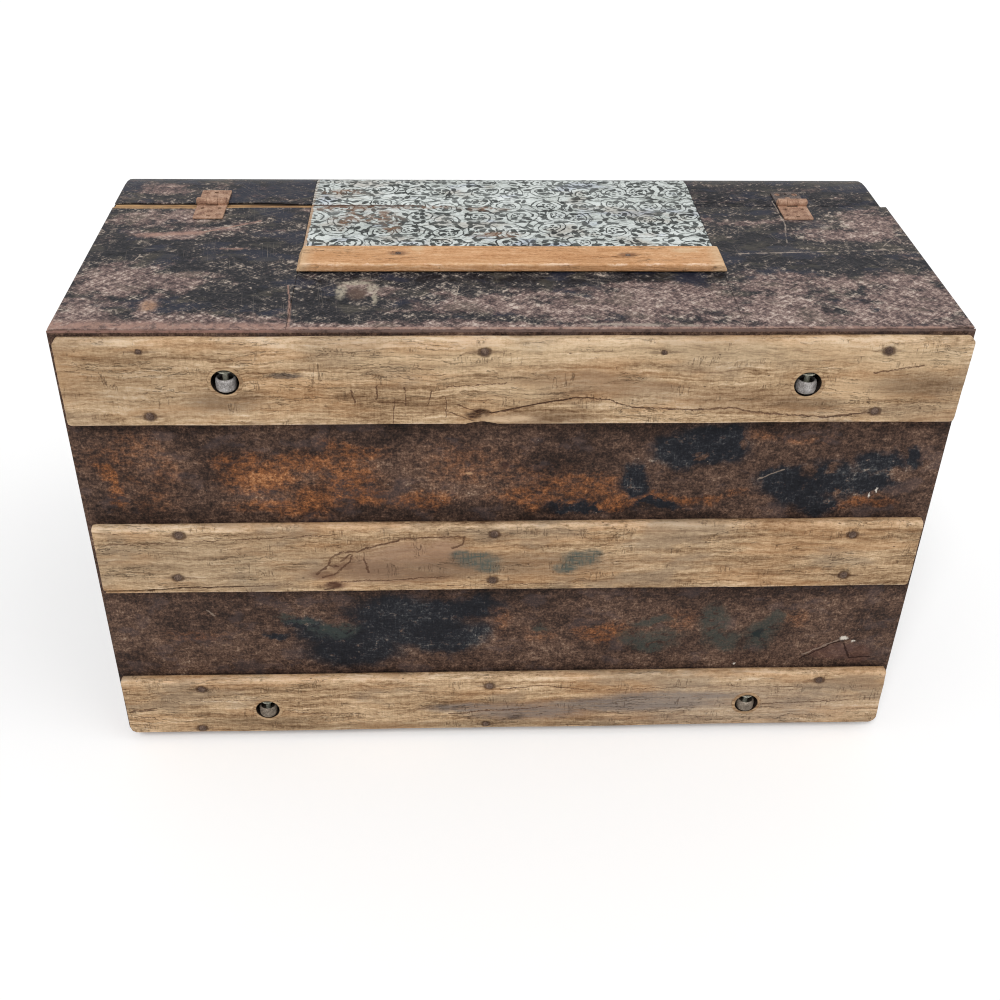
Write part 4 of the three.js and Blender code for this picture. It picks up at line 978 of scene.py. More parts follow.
def patterned_tin():
    """Pale tin printed with dark scrolls round small flowers, browned by rust at one side."""
    tin = Finish("patterned_tin", roughness=0.6, specular=0.08)
    flat = along_tin(tin)
    bent = tin.wander(0.04, 0.016, 3.0, place=flat)
    local, chance = scattered(tin, MOTIF, 0.5, bent)
    across, up = tin.part(local, "X"), tin.part(local, "Y")
    reach = tin.calc("SQRT", tin.plus(tin.times(across, across), tin.times(up, up)))
    angle = tin.calc("ARCTAN2", up, across)
    side = tin.step(tin.part(chance, "X"), 0.499, 0.501, -1.0, 1.0)
    phase = tin.part(chance, "Y")
    turns = tin.times(angle, side, 1 / (2 * math.pi))
    wound = tin.calc("FRACT", tin.plus(tin.minus(tin.calc("DIVIDE", reach, PITCH), turns), phase))
    from_line = tin.off_middle(wound)
    uneven = tin.noise(0.006, (1, 1, 1), 2.0, 0.5, 4.0, place=flat)
    width = tin.step(uneven, 0.35, 0.65, 0.07, 0.19)
    within = tin.times(tin.step(reach, 0.56, 0.5), tin.step(reach, 0.17, 0.2))
    scroll = tin.times(tin.step(tin.minus(from_line, width), 0.03, -0.03), within)
    petals = tin.calc("COSINE", tin.plus(tin.times(angle, 5.0), tin.times(phase, FULL_TURN)))
    bloom = tin.minus(reach, tin.times(petals, 0.035))
    flower = tin.times(tin.step(tin.off_middle(bloom, 0.12), 0.05, 0.032),
                       tin.step(petals, -0.6, -0.1))
    flower = tin.most(flower, tin.step(reach, 0.05, 0.035))
    leaf_place, leaf_chance = scattered(tin, LEAF, 0.85, tin.wander(0.01, 0.004, 8.0, place=flat))
    lean = tin.times(tin.part(leaf_chance, "X"), FULL_TURN)
    turned_leaf = tin.node("ShaderNodeVectorRotate", Vector=leaf_place, Angle=lean)
    turned_leaf.rotation_type = "Z_AXIS"
    blade = tin.vector("LENGTH", tin.vector("MULTIPLY", turned_leaf.outputs[0], (2.2, 3.8, 0)))
    leaf = tin.times(tin.step(blade, 1.1, 0.85), tin.step(tin.part(leaf_chance, "Y"), 0.34, 0.36))
    vine = tin.noise(0.021, (1.2, 1, 1), 1.0, 0.5, 6.0, place=bent)
    from_vine = tin.off_middle(vine)
    stem = tin.times(tin.step(from_vine, 0.028, 0.015), tin.step(reach, 0.36, 0.46))
    vein = tin.noise(0.012, (1.8, 1, 1), 2.0, 0.5, 16.0, place=bent)
    from_vein = tin.off_middle(vein)
    thin = tin.times(tin.step(from_vein, 0.024, 0.01), 0.4)
    ink = tin.most(scroll, flower, leaf, stem, thin)
    faded = tin.step(tin.noise(0.03, (1.4, 1, 1), 4.0, 0.6, 41.0, place=flat), 0.62, 0.4, 0.85, 1.0)
    grain = tin.noise(0.0022, (1.2, 1.8, 1.2), 3.0, 0.75, 8.0)
    ink = tin.times(ink, faded, tin.step(grain, 0.3, 0.5, 0.8, 1.0))
    cloud = tin.noise(0.028, (1.8, 1, 1), 4.0, 0.6, 2.0, place=flat)
    value = tin.total(0.52, (grain, 0.8), (cloud, 0.8))
    ground = tin.ramp(value, TIN_TONES)
    tan = tin.patches(0.52, 0.64, 0.03, (1.8, 1, 1), 4.0, 0.6, 51.0, place=flat)
    ground = tin.coat(ground, (172, 156, 140), tan, 0.42)
    blue = tin.patches(0.56, 0.68, 0.034, (1.6, 1, 1), 3.0, 0.6, 57.0, place=flat)
    ground = tin.coat(ground, (178, 186, 204), blue, 0.5)
    ink_tone = tin.mix(paint(9, 12, 13), paint(38, 44, 41), tin.step(cloud, 0.4, 0.62))
    colour = tin.mix(ground, ink_tone, tin.times(ink, 0.95))
    frayed = tin.wander(0.012, 0.012, 31.0)
    rust = tin.spots(frayed, back_spots(
        (-150, 272, 45, 7), (-90, 273, 40, 4), (-150, 255, 6, 20), (-176, 268, 14, 6), (-120, 250, 12, 18),
        (-136, 244, 30, 8), (-112, 222, 8, 12), (-158, 232, 5, 14), (-163, 312, 20, 6), (-20, 268, 20, 5),
        (-10, 205, 22, 6)), 0.7)
    rust = tin.times(rust, tin.patches(0.4, 0.56, 0.006, (1.4, 1, 1), 4.0, 0.7, 61.0))
    colour = tin.coat(colour, (128, 94, 70), rust, 0.8)
    seam_place = tin.vector("MULTIPLY", tin.wander(0.014, 0.003, 75.0), (1, 1, 0))
    seam_line = tin.stroke(seam_place, (-0.2, SEAM + 0.9 * MM, 0), (-0.086, SEAM + 0.9 * MM, 0), 0.0015, 0.6)
    colour = tin.coat(colour, (74, 54, 44), seam_line, 0.9)
    edge_place = tin.wander(0.012, 0.005, 71.0)
    bare = tin.times(
        tin.step(tin.part(edge_place, "X"), BARE_EDGE + 1 * MM, BARE_EDGE),
        tin.along("Y", SEAM + 6 * MM, SEAM - 4 * MM, 0.25, 1.0))
    colour = tin.coat(colour, (186, 150, 118), bare, 0.8)
    tin.put("Base Color", colour)
    tin.relief((tin.less(ink), 0.3, 0.5), (cloud, 1.5, 0.4), (grain, 0.3, 0.5))
    tin.put("Roughness", tin.step(value, 0.3, 0.7, 0.7, 0.55))
    return tin.material


def iron(name, dark, brown, bright, roughness=0.55, metallic=0.35, bared=None):
    """Iron in three tones; bared holds three tones for the part of a leaf that is rolled round its pin."""
    metal = Finish(name, roughness=roughness, metallic=metallic, specular=0.4)
    cloud = metal.noise(0.008, (1, 1, 1), 4.0, 0.6, 1.0)
    grit = metal.noise(0.0012, (1, 1, 1), 4.0, 0.7, 8.0)
    pits = metal.step(metal.flecks(0.0045, (1, 1, 1), 5.0), 0.16, 0.08)
    value = metal.total(0.5, (grit, 1.1), (cloud, 1.0))
    colour = metal.ramp(value, list(zip(IRON_STOPS, (dark, brown, bright))))
    if bared:
        rolled = metal.along("Y", PIN_AT + 6 * MM, PIN_AT + 4 * MM)
        colour = metal.mix(colour, metal.ramp(value, list(zip(IRON_STOPS, bared))), rolled)
    colour = metal.coat(colour, dark, pits, 0.6)
    colour = metal.coat(colour, (34, 28, 21), metal.attribute("hollow"), 0.9)
    metal.put("Base Color", colour)
    metal.relief((metal.less(pits), 0.3, 0.6), (grit, 0.3, 0.7))
    metal.put("Roughness", metal.step(value, 0.3, 0.7, roughness + 0.15, roughness - 0.15))
    return metal.material


def cup_finish():
    """Dark iron of the cups, with their lips brown from the wood round them."""
    metal = Finish("cup_iron", roughness=0.7, metallic=0.2, specular=0.25)
    cloud = metal.noise(0.006, (1, 1, 1), 4.0, 0.6, 1.0)
    grit = metal.noise(0.0012, (1, 1, 1), 4.0, 0.7, 8.0)
    value = metal.total(0.5, (grit, 1.1), (cloud, 1.0))
    colour = metal.ramp(value, list(zip(IRON_STOPS, CUP_TONES)))
    lip = metal.along("Y", BOTTOM_FACE + 1.3 * MM, BOTTOM_FACE + 1.0 * MM)
    streak = metal.noise(0.0018, (14, 1, 1), 4.0, 0.7, 3.0)
    wooden = metal.mix(paint(128, 98, 70), paint(196, 166, 130), metal.step(streak, 0.35, 0.65))
    colour = metal.mix(colour, wooden, lip)
    metal.put("Base Color", colour)
    metal.relief((grit, 0.3, 0.7))
    metal.put("Roughness", metal.step(value, 0.3, 0.7, 0.85, 0.55))
    return metal.material


def strap_leather():
    hide = Finish("strap_leather", roughness=0.6, specular=0.35)
    cloud = hide.noise(0.02, (1, 1, 1), 4.0, 0.6)
    pores = hide.flecks(0.0016)
    grit = hide.noise(0.0026, (1, 1, 1), 4.0, 0.7, 8.0)
    value = hide.total(0.5, (grit, 0.8), (cloud, 0.9))
    colour = hide.ramp(value, LEATHER_TONES)
    cracks = hide.off_middle(hide.noise(0.006, (1, 1, 0.5), 3.0, 0.6, 12.0))
    cracked = hide.step(cracks, 0.014, 0.005)
    colour = hide.coat(colour, (30, 20, 16), cracked, 0.7)
    hide.put("Base Color", colour)
    hide.relief((hide.less(cracked), 0.6, 0.7), (pores, 0.3, 0.5))
    hide.put("Roughness", hide.step(value, 0.3, 0.7, 0.75, 0.5))
    return hide.material


def dress(node, material):
    data = frame["nodes"][node].data
    data.materials.clear()
    data.materials.append(material)


AMBIENT = 0.48
LAMPS = [
    ("window_light", (-0.25, -0.75, 1.0), 1.55, 0.35),
    ("side_light", (0.8, -0.3, 0.9), 0.45, 0.9),
]
FLOOR_SIZE = 12.0
FLOOR_GLOW = 0.16


def light_the_scene():
    world = bpy.data.worlds.new("studio")
    world.use_nodes = True
    bpy.context.scene.world = world
    nodes, links = world.node_tree.nodes, world.node_tree.links
    nodes.clear()
    output = nodes.new("ShaderNodeOutputWorld")
    sky = nodes.new("ShaderNodeBackground")
    sky.inputs["Color"].default_value = (1, 1, 1, 1)
    rays = nodes.new("ShaderNodeLightPath")
    seen = rays.outputs["Is Camera Ray"]
    for kind in ("Is Glossy Ray", "Is Transmission Ray"):
        either = nodes.new("ShaderNodeMath")
        either.operation = "MAXIMUM"
        links.new(seen, either.inputs[0])
        links.new(rays.outputs[kind], either.inputs[1])
        seen = either.outputs[0]
    strength = nodes.new("ShaderNodeMapRange")
    strength.inputs["To Min"].default_value = AMBIENT
    strength.inputs["To Max"].default_value = 1.0
    links.new(seen, strength.inputs["Value"])
    links.new(strength.outputs["Result"], sky.inputs["Strength"])
    links.new(sky.outputs[0], output.inputs["Surface"])
    for name, towards, energy, softness in LAMPS:
        lamp = bpy.data.lights.new(name, "SUN")
        lamp.energy = energy
        lamp.angle = softness
        sun = bpy.data.objects.new(name, lamp)
        sun.rotation_euler = Vector(towards).to_track_quat("Z", "Y").to_euler()
        bpy.context.scene.collection.objects.link(sun)


def add_floor():
    bpy.ops.mesh.primitive_plane_add(size=FLOOR_SIZE, location=(0, 0, 0))
    floor = bpy.context.object
    floor.name = "floor"
    floor.data.materials.append(floor_finish())


def floor_finish():
    pale = Finish("floor", roughness=0.9, specular=0.0)
    pale.put("Base Color", paint(248, 248, 248))
    pale.put("Emission Color", (1, 1, 1, 1))
    rays = pale.node("ShaderNodeLightPath")
    seen = pale.most(rays.outputs["Is Camera Ray"], rays.outputs["Is Glossy Ray"])
    pale.put("Emission Strength", pale.times(seen, FLOOR_GLOW))
    return pale.material


# Ragged lines, and tools that carve splits, dents and the seats of nails
def jagged(points, step, swing, seed):
    """Points along a broken line, each thrown a little to the side; points are (x, z) in metres."""
    chance = random.Random(seed)
    line = []
    for (x0, z0), (x1, z1) in zip(points, points[1:]):
        parts = max(2, round(math.hypot(x1 - x0, z1 - z0) / step))
        for part in range(parts):
            share = part / parts
            throw = 0.0 if part == 0 and not line else chance.uniform(-swing, swing)
            line.append((x0 + (x1 - x0) * share, z0 + (z1 - z0) * share + throw))
    line.append(points[-1])
    return line


SPLIT_STEP = 9 * MM
SPLIT_SWING = 0.7 * MM


def split_line(points_mm, seed):
    points = [(x * MM, BACK_TOP - below * MM) for x, below in points_mm]
    return jagged(points, SPLIT_STEP, SPLIT_SWING, seed)


def split_tool(line, half_width, depth, face):
    """A long tool, thick at its start and thin at its end, lying in the bottom's face."""
    curve = bpy.data.curves.new("split", "CURVE")
    curve.dimensions = "3D"
    curve.bevel_depth = 1.0
    curve.bevel_resolution = 1
    curve.use_fill_caps = True
    spline = curve.splines.new("POLY")
    spline.points.add(len(line) - 1)
    for order, (point, (x, z)) in enumerate(zip(spline.points, line)):
        share = order / (len(line) - 1)
        point.co = (x, 0.0, z, 1.0)
        point.radius = half_width * (1.0 - 0.82 * share)
    tool = bpy.data.objects.new("split", curve)
    bpy.context.scene.collection.objects.link(tool)
    alone(tool)
    bpy.ops.object.convert(target="MESH")
    tool = bpy.context.object
    tool.scale = (1.0, depth / half_width, 1.0)
    tool.location = (0.0, face, 0.0)
    bpy.ops.object.transform_apply()
    merge(tool)
    bpy.ops.mesh.normals_make_consistent(inside=False)
    leave()
    return tool


def mark_lines(piece, lines, reach):
    """Writes how near each point lies to the split lines, 1 on a line and 0 beyond reach."""
    values = [0.0] * len(piece.data.vertices)
    places = [(vertex.index, vertex.co.x, vertex.co.z) for vertex in piece.data.vertices]
    for line in lines:
        low_z = min(z for x, z in line) - reach
        high_z = max(z for x, z in line) + reach
        near = [place for place in places if low_z < place[2] < high_z]
        for (x0, z0), (x1, z1) in zip(line, line[1:]):
            low_x, high_x = min(x0, x1) - reach, max(x0, x1) + reach
            run = max(1e-9, (x1 - x0) ** 2 + (z1 - z0) ** 2)
            for index, x, z in near:
                if not low_x < x < high_x:
                    continue
                share = min(1.0, max(0.0, ((x - x0) * (x1 - x0) + (z - z0) * (z1 - z0)) / run))
                away = math.hypot(x - x0 - (x1 - x0) * share, z - z0 - (z1 - z0) * share)
                values[index] = max(values[index], 1.0 - away / reach)
    attribute = piece.data.attributes.new("split", "FLOAT", "POINT")
    attribute.data.foreach_set("value", values)


def bowl_tool(centre, size):
    bpy.ops.object.select_all(action="DESELECT")
    bpy.ops.mesh.primitive_uv_sphere_add(
        segments=18, ring_count=10, radius=1.0, location=centre, scale=size)
    bpy.ops.object.transform_apply()
    return bpy.context.object


def nail_seats(places_mm, face, reach=5.6 * MM, depth=1.6 * MM):
    """Shallow bowls round the nails of a bottom slat."""
    ball = (reach * reach + depth * depth) / (2 * depth)
    seats = []
    for x, below in places_mm:
        centre = Vector(on_bottom(x, below))
        size = ball * NAIL_SIZES.get((x, below), 1.0)
        centre.y = face + depth - size
        seats.append(bowl_tool(centre, (size, size, size)))
    return seats


def nail_head(name, place, outward, reach=3.7 * MM, rise=1.0 * MM):
    """A forged nail's low domed head with a short shank under it."""
    profile = [
        (0.0, rise), (reach * 0.35, rise * 0.96), (reach * 0.7, rise * 0.7), (reach * 0.93, rise * 0.25),
        (reach, -rise * 0.2), (reach * 0.9, -rise * 0.6), (reach * 0.4, -rise * 0.7),
        (reach * 0.36, -rise * 3), (0.0, -rise * 3.4)]
    return turned(name, profile, place, outward, steps=14)


def nails_of(name, places, outward, body, finish, scales=None, **sizes):
    heads = [nail_head("nail", place, outward, **sizes) for place in places]
    for head, place, scale in zip(heads, places, scales or [1.0] * len(places)):
        head.data.transform(
            Matrix.Translation(place) @ Matrix.Scale(scale, 4) @ Matrix.Translation(-Vector(place)))
    nails = join(heads, name)
    smooth(nails, 50.0)
    hand_over(nails, body, "rusty_iron", finish)
    return nails


# Slats, each worn from a copy of its solid
SLAT_ARRIS = 1.4 * MM
SPLIT_TONE_REACH = 2.4 * MM
# Points further out than this belong to a slat's end
SLAT_END = 300 * MM
# How much further than its solid a slat reaches: right end at its back and front edges, then left end
FLUSH_ENDS = {
    "bottom_slat_back": (3.6 * MM, 1.6 * MM, 0.0),
    "bottom_slat_front": (5.0 * MM, 6.0 * MM, 5.0 * MM),
}
# How round a slat's corners are, at its back edge and at its front edge
CORNERS = {
    "bottom_slat_back": (7.0 * MM, 3.5 * MM), "bottom_slat_middle": (2.5 * MM, 7.0 * MM),
    "bottom_slat_front": (2.5 * MM, 13.0 * MM),
}


def round_corners(piece, node, low, high):
    """Draws the points beyond a round corner back to it, at each end of a slat."""
    if node not in CORNERS:
        return
    back_corner, front_corner = CORNERS[node]
    back_reach, front_reach, left_reach = FLUSH_ENDS.get(node, (0.0, 0.0, 0.0))
    for vertex in piece.data.vertices:
        place = vertex.co
        share = (place.z - low.z) / (high.z - low.z)
        reach = back_corner if share > 0.5 else front_corner
        if place.x > 0:
            from_end = high.x + front_reach + (back_reach - front_reach) * share - place.x
        else:
            from_end = place.x - low.x + left_reach
        from_side = high.z - place.z if share > 0.5 else place.z - low.z
        along, over = reach - from_end, reach - from_side
        away = math.hypot(along, over)
        if along <= 0 or over <= 0 or away <= reach:
            continue
        drawn = 1.0 - reach / away
        place.x += (-1.0 if place.x > 0 else 1.0) * along * drawn
        place.z += (-1.0 if share > 0.5 else 1.0) * over * drawn


def worn_slat(node, body, slot, finish, cutters=(), lines=(), voxel=1.7 * MM, waves=1.3 * MM,
              relief=0.45 * MM):
    piece = copied(node, "worn_" + node)
    low, high = node_box(node)
    back_reach, front_reach, left_reach = FLUSH_ENDS.get(node, (0.0, 0.0, 0.0))
    for vertex in piece.data.vertices:
        if vertex.co.x > SLAT_END:
            share = (vertex.co.z - low.z) / (high.z - low.z)
            vertex.co.x += front_reach + (back_reach - front_reach) * share
        if vertex.co.x < -SLAT_END:
            vertex.co.x -= left_reach
    apply_modifier(
        piece, "BEVEL", width=SLAT_ARRIS, segments=2, limit_method="ANGLE",
        angle_limit=math.radians(30.0))
    apply_modifier(piece, "REMESH", mode="VOXEL", voxel_size=voxel)
    round_corners(piece, node, low, high)
    shift = sum(ord(letter) for letter in node) * 0.37
    roughen(piece, 30 * MM, waves, (4, 1, 1), shift)
    roughen(piece, 4 * MM, relief, (14, 1, 1), shift + 3.0)
    carve(piece, cutters)
    mark_lines(piece, lines, SPLIT_TONE_REACH)
    smooth(piece, 60.0)
    hand_over(piece, body, slot, finish, node)
    return piece


# Splits of the bottom slats: their points, half width and depth, in mm
BOTTOM_SPLITS = {
    "bottom_slat_back": [
        ([(-26, 75), (20, 65), (49, 59), (78, 61), (98, 69), (154, 72)], 0.4, 1.4),
    ],
    "bottom_slat_middle": [
        ([(-384, 267), (-350, 267), (-300, 263), (-250, 262)], 1.8, 7.0),
    ],
    "bottom_slat_front": [
        ([(-381, 424), (-352, 421)], 0.8, 3.0),
    ],
}


# Gouges of the bottom slats: their middle, and their half length, depth and half height, in mm
GOUGES = {
    "bottom_slat_back": [
        ((-29, 74), (8.0, 4.0, 4.0)), ((-30, 91), (20.0, 12.0, 8.5)), ((-56, 90), (26.0, 9.0, 4.6)),
        ((-12, 80), (20.0, 1.2, 3.2)), ((-29, 80), (5.0, 2.0, 5.0))],
    "bottom_slat_middle": [((-386, 273), (60.0, 9.0, 4.5)), ((-150, 236), (22.0, 0.8, 9.0))],
    "bottom_slat_front": [((-379, 464), (20.0, 14.0, 9.0)), ((379, 464), (18.0, 14.0, 8.0))],
}
NAILS_SUNK = 1.0 * MM
HIDDEN_NAILS_SUNK = 1.1 * MM
BACK_SLAT_NAILS_SUNK = 0.9 * MM


def bottom_slats(finishes, nail_finish):
    face = BOTTOM_FACE
    for node, places in BOTTOM_NAILS.items():
        lines = []
        cutters = []
        for seed, (points, half_width, depth) in enumerate(BOTTOM_SPLITS[node]):
            line = split_line(points, seed + 5)
            lines.append(line)
            cutters.append(split_tool(line, half_width * MM, depth * MM, face))
        for (x, below), size in GOUGES[node]:
            centre = (x * MM, face, BACK_TOP - below * MM)
            cutters.append(bowl_tool(centre, [reach * MM for reach in size]))
        cutters += nail_seats(places, face)
        worn_slat(node, "body", "pale_slats", finishes[node], cutters, lines)
        sunk = [(x * MM, face + NAILS_SUNK, BACK_TOP - below * MM) for x, below in places]
        scales = [NAIL_SIZES.get(spot, 1.0) for spot in places]
        nails_of("nails_" + node, sunk, (0, -1, 0), "body", nail_finish, scales)


# Rollers in their cups
def iron_roller(place, body, finish):
    node = "roller_" + place
    low, high = node_box(node)
    centre = (low + high) / 2
    radius = (high.x - low.x) / 2
    half = (high.z - low.z) / 2
    hub = half - 4.2 * MM
    bore = 2.8 * MM
    end = [
        (bore, -hub), (radius * 0.7, -hub), (radius * 0.74, -hub - 0.5 * MM),
        (radius * 0.77, -half + 0.5 * MM), (radius * 0.8, -half), (radius * 0.84, -half + 0.1 * MM),
        (radius * 0.92, -half + 0.7 * MM), (radius * 0.98, -half + 1.8 * MM)]
    profile = end + [(radius, -half * 0.3), (radius, half * 0.3)]
    profile += [(out, -along) for out, along in reversed(end)] + [end[0]]
    piece = turned("worn_" + node, profile, centre, (0, 0, 1), steps=40)
    from_axis = [math.hypot(v.co.x - centre.x, v.co.y - centre.y) / radius for v in piece.data.vertices]
    hollow = piece.data.attributes.new("hollow", "FLOAT", "POINT")
    hollow.data.foreach_set("value", [1.0 if away < 0.76 else 0.0 for away in from_axis])
    smooth(piece, 40.0)
    hand_over(piece, body, "worn_iron", finish, node)


def iron_cup(place, finish, axle_finish):
    node = "roller_cup_" + place
    low, high = node_box(node)
    across = (low + high) / 2
    radius = (high.x - low.x) / 2
    depth = high.y - low.y
    wall = 0.7 * MM
    floor = 0.8 * MM
    mouth = (across.x, low.y, across.z)
    lip = 0.9 * MM
    flange = radius + 2.2 * MM
    profile = [
        (0.0, depth), (radius * 0.9, depth), (radius, depth - 0.1 * radius), (radius, 3.6 * MM),
        (flange, 1.8 * MM), (flange, 1.0 * MM), (radius + 0.8 * MM, 0.45 * MM),
        (radius - lip / 2, 0.3 * MM), (radius - lip, 0.6 * MM), (radius - lip, 1.4 * MM),
        (radius - wall, 3.0 * MM), (radius - wall, depth - 0.2 * radius),
        (radius * 0.85, depth - floor), (0.0, depth - floor)]
    cup = turned("cup", profile, mouth, (0, 1, 0), steps=40)
    roller_low, roller_high = node_box("roller_" + place)
    axle_y = (roller_low.y + roller_high.y) / 2
    reach = radius - wall / 2
    pin = 2.5 * MM
    centre = (across.x, axle_y, across.z)
    axle = turned(
        "axle", [(0, -reach), (pin, -reach), (pin, reach), (0, reach)], centre, (0, 0, 1), steps=20)
    top = radius - wall - 2.4 * MM
    under = top - 1.2 * MM
    rivet = top + 0.8 * MM
    edge = 6.6 * MM
    ease = 0.3 * MM
    collar = turned("collar", [
        (pin * 0.8, under), (edge - ease, under), (edge, top - 0.9 * MM), (edge, top - ease),
        (edge - ease, top), (pin * 1.5, top), (pin * 1.3, rivet), (pin * 0.8, rivet),
        (pin * 0.8, under)], centre, (0, 0, 1), steps=32)
    smooth(cup, 40.0)
    cup.name = "worn_" + node
    hand_over(cup, "body", "worn_iron", finish, node)
    axle = join([axle, collar], "axle_" + place)
    smooth(axle, 40.0)
    hand_over(axle, "body", "worn_iron", axle_finish)


def rollers(back_finish, front_finish, cup_iron, axle_finish):
    for place in ("back_left", "back_right", "front_left", "front_right"):
        iron_roller(place, place + "_roller", back_finish if place.startswith("back") else front_finish)
        iron_cup(place, cup_iron, axle_finish)


# Screws, the back slat, the hidden slats and the sheets
def screw_head(name, place, outward, turn, reach=3.1 * MM, rise=0.7 * MM):
    profile = [
        (0.0, rise), (reach * 0.55, rise * 0.85), (reach * 0.9, rise * 0.45), (reach, 0.0),
        (reach * 0.9, -rise * 0.5), (reach * 0.4, -rise * 2.2), (0.0, -rise * 2.6)]
    head = turned(name, profile, place, outward, steps=20)
    slot = cuboid("slot", (-reach * 1.2, -0.4 * MM, -rise * 0.2), (reach * 1.2, 0.4 * MM, rise * 2))
    slot.rotation_euler = (0, 0, turn)
    slot.location = place
    alone(slot)
    bpy.ops.object.transform_apply()
    apply_modifier(head, "BOOLEAN", operation="DIFFERENCE", solver="MANIFOLD", object=slot)
    bpy.data.objects.remove(slot, do_unlink=True)
    return head


LEAF_THICKNESS = 1.5 * MM
SCREW_TO_EDGE = 8 * MM
SCREW_SPACING = 9 * MM


def hinge_screws(finish):
    """Three slotted screws in each leaf that shows."""
    for side in ("left", "right"):
        for leaf, body in (("body", "body"), ("lid", "lid")):
            low, high = node_box("hinge_%s_leaf_%s" % (leaf, side))
            middle = (low.x + high.x) / 2
            face = BACK_TOP + 0.3 * MM + LEAF_THICKNESS
            outer = low.y + SCREW_TO_EDGE if leaf == "body" else high.y - SCREW_TO_EDGE
            inner = outer + SCREW_SPACING if leaf == "body" else outer - SCREW_SPACING
            spots = [(middle - SCREW_SPACING, outer), (middle + SCREW_SPACING, outer), (middle, inner)]
            heads = [
                screw_head("screw", (x, y, face - 0.1 * MM), (0, 0, 1), 0.5 + 1.3 * order)
                for order, (x, y) in enumerate(spots)]
            screws = join(heads, "screws_%s_%s" % (leaf, side))
            smooth(screws, 40.0)
            hand_over(screws, body, "rusty_iron", finish)


def back_slat_piece(finish, nail_finish):
    low, high = node_box("back_slat")
    worn_slat("back_slat", "body", "tan_slat", finish, waves=1.0 * MM, relief=0.35 * MM, voxel=1.5 * MM)
    places = [
        (x * MM, low.y + up * MM, high.z - BACK_SLAT_NAILS_SUNK) for x, up in BACK_SLAT_NAILS]
    nails_of("nails_back_slat", places, (0, 0, 1), "body", nail_finish, reach=3.2 * MM, rise=0.6 * MM)


HIDDEN_SLATS = {
    "front_slat_low": (0, 0, -1), "front_slat_high": (0, 0, -1), "dome_slat_back": None,
    "dome_slat_crown": (0, 1, 0), "dome_slat_front": None,
}


# Where a hidden slat's nails stand, in its length and its width, from its middle
NAIL_SHARES = (-0.44, -0.15, 0.15, 0.44)
ACROSS_SHARES = (-0.28, 0.28)


def hidden_slats(finish, nail_finish):
    for node, outward in HIDDEN_SLATS.items():
        worn_slat(node, BODY_OF[node], "pale_slats", finish, voxel=2.6 * MM, waves=1.0 * MM, relief=0.4 * MM)
        if outward is None:
            continue
        low, high = node_box(node)
        middle = (low + high) / 2
        face = high.y - HIDDEN_NAILS_SUNK if outward[1] else low.z + HIDDEN_NAILS_SUNK
        places = []
        for share in NAIL_SHARES:
            x = middle.x + (high.x - low.x) * share
            for edge in ACROSS_SHARES:
                across = (high.z - low.z if outward[1] else high.y - low.y) * edge
                places.append((x, face, middle.z + across) if outward[1] else (x, middle.y + across, face))
        nails_of("nails_" + node, places, outward, BODY_OF[node], nail_finish)


def ragged_tool(line, away, low, high):
    """A block that takes everything on one side of a ragged line, away from the piece."""
    outline = [(x, y) for x, y in line] + [(line[-1][0], away), (line[0][0], away)]
    mesh = bpy.data.meshes.new("ragged")
    shape = bmesh.new()
    under = [shape.verts.new((x, y, low)) for x, y in outline]
    over = [shape.verts.new((x, y, high)) for x, y in outline]
    shape.faces.new(under)
    shape.faces.new(over)
    for order in range(len(outline)):
        after = (order + 1) % len(outline)
        shape.faces.new((under[order], under[after], over[after], over[order]))
    bmesh.ops.recalc_face_normals(shape, faces=shape.faces)
    shape.to_mesh(mesh)
    shape.free()
    tool = bpy.data.objects.new("ragged", mesh)
    bpy.context.scene.collection.objects.link(tool)
    return tool


# Ragged edges of the sheets: how much they swing, a seed, and places along the trunk and up from the
# slats' face, in mm
RAGGED_EDGES = {
    "back_sheet_left": (0.4, 3, [
        (-390, 14.2), (-376, 15.0), (-366, 13.6), (-340, 14.2), (-300, 13.2), (-190, 13.0)]),
    "back_sheet_middle": (0.4, 5, [(-194, 13.0), (-100, 13.4), (0, 13.0), (100, 13.4), (194, 13.8)]),
    "back_sheet_right": (0.4, 7, [
        (190, 13.8), (240, 14.6), (260, 13.2), (330, 13.2), (376, 14.0), (390, 15.0)]),
    "lid_sheet_left": (0.5, 9, [
        (-390, 281.0), (-370, 282.4), (-330, 281.4), (-300, 282.6), (-260, 283.4), (-230, 282.0),
        (-200, 279.6), (-190, 279.2)]),
}
RAGGED_STEP = 7 * MM


def edge_tools():
    """A tool for each ragged edge, by the name of its sheet."""
    near = BOTTOM_FACE + 12.6 * MM
    seam = SEAM + 1.5 * MM
    face_mm = BOTTOM_FACE / MM
    tools = {}
    for node, (swing, seed, places) in RAGGED_EDGES.items():
        points = [(x * MM, (face_mm + up) * MM) for x, up in places]
        line = jagged(points, RAGGED_STEP, swing * MM, seed)
        away = (seam if node == "lid_sheet_left" else near) - 6 * MM
        tools[node] = [ragged_tool(line, away, BACK_TOP - 3 * MM, BACK_TOP + 2 * MM)]
    return tools


# Sheets that nearly meet over the seam, and how far their edges there are moved
CLOSING = {
    "patterned_panel": 4.4 * MM, "back_sheet_right": 4.4 * MM, "back_board": 1.3 * MM,
    "lid_sheet_middle": -0.6 * MM, "lid_sheet_right": -0.6 * MM,
}
EDGE_BAND = 0.6 * MM


def close_seam(piece, node):
    """Moves the sheet's edge at the seam, so that only a hair shows between body and lid."""
    if node not in CLOSING:
        return
    low, high = node_box(node)
    for vertex in piece.data.vertices:
        from_edge = high.y - vertex.co.y if CLOSING[node] > 0 else vertex.co.y - low.y
        if from_edge < EDGE_BAND:
            vertex.co.y += CLOSING[node]


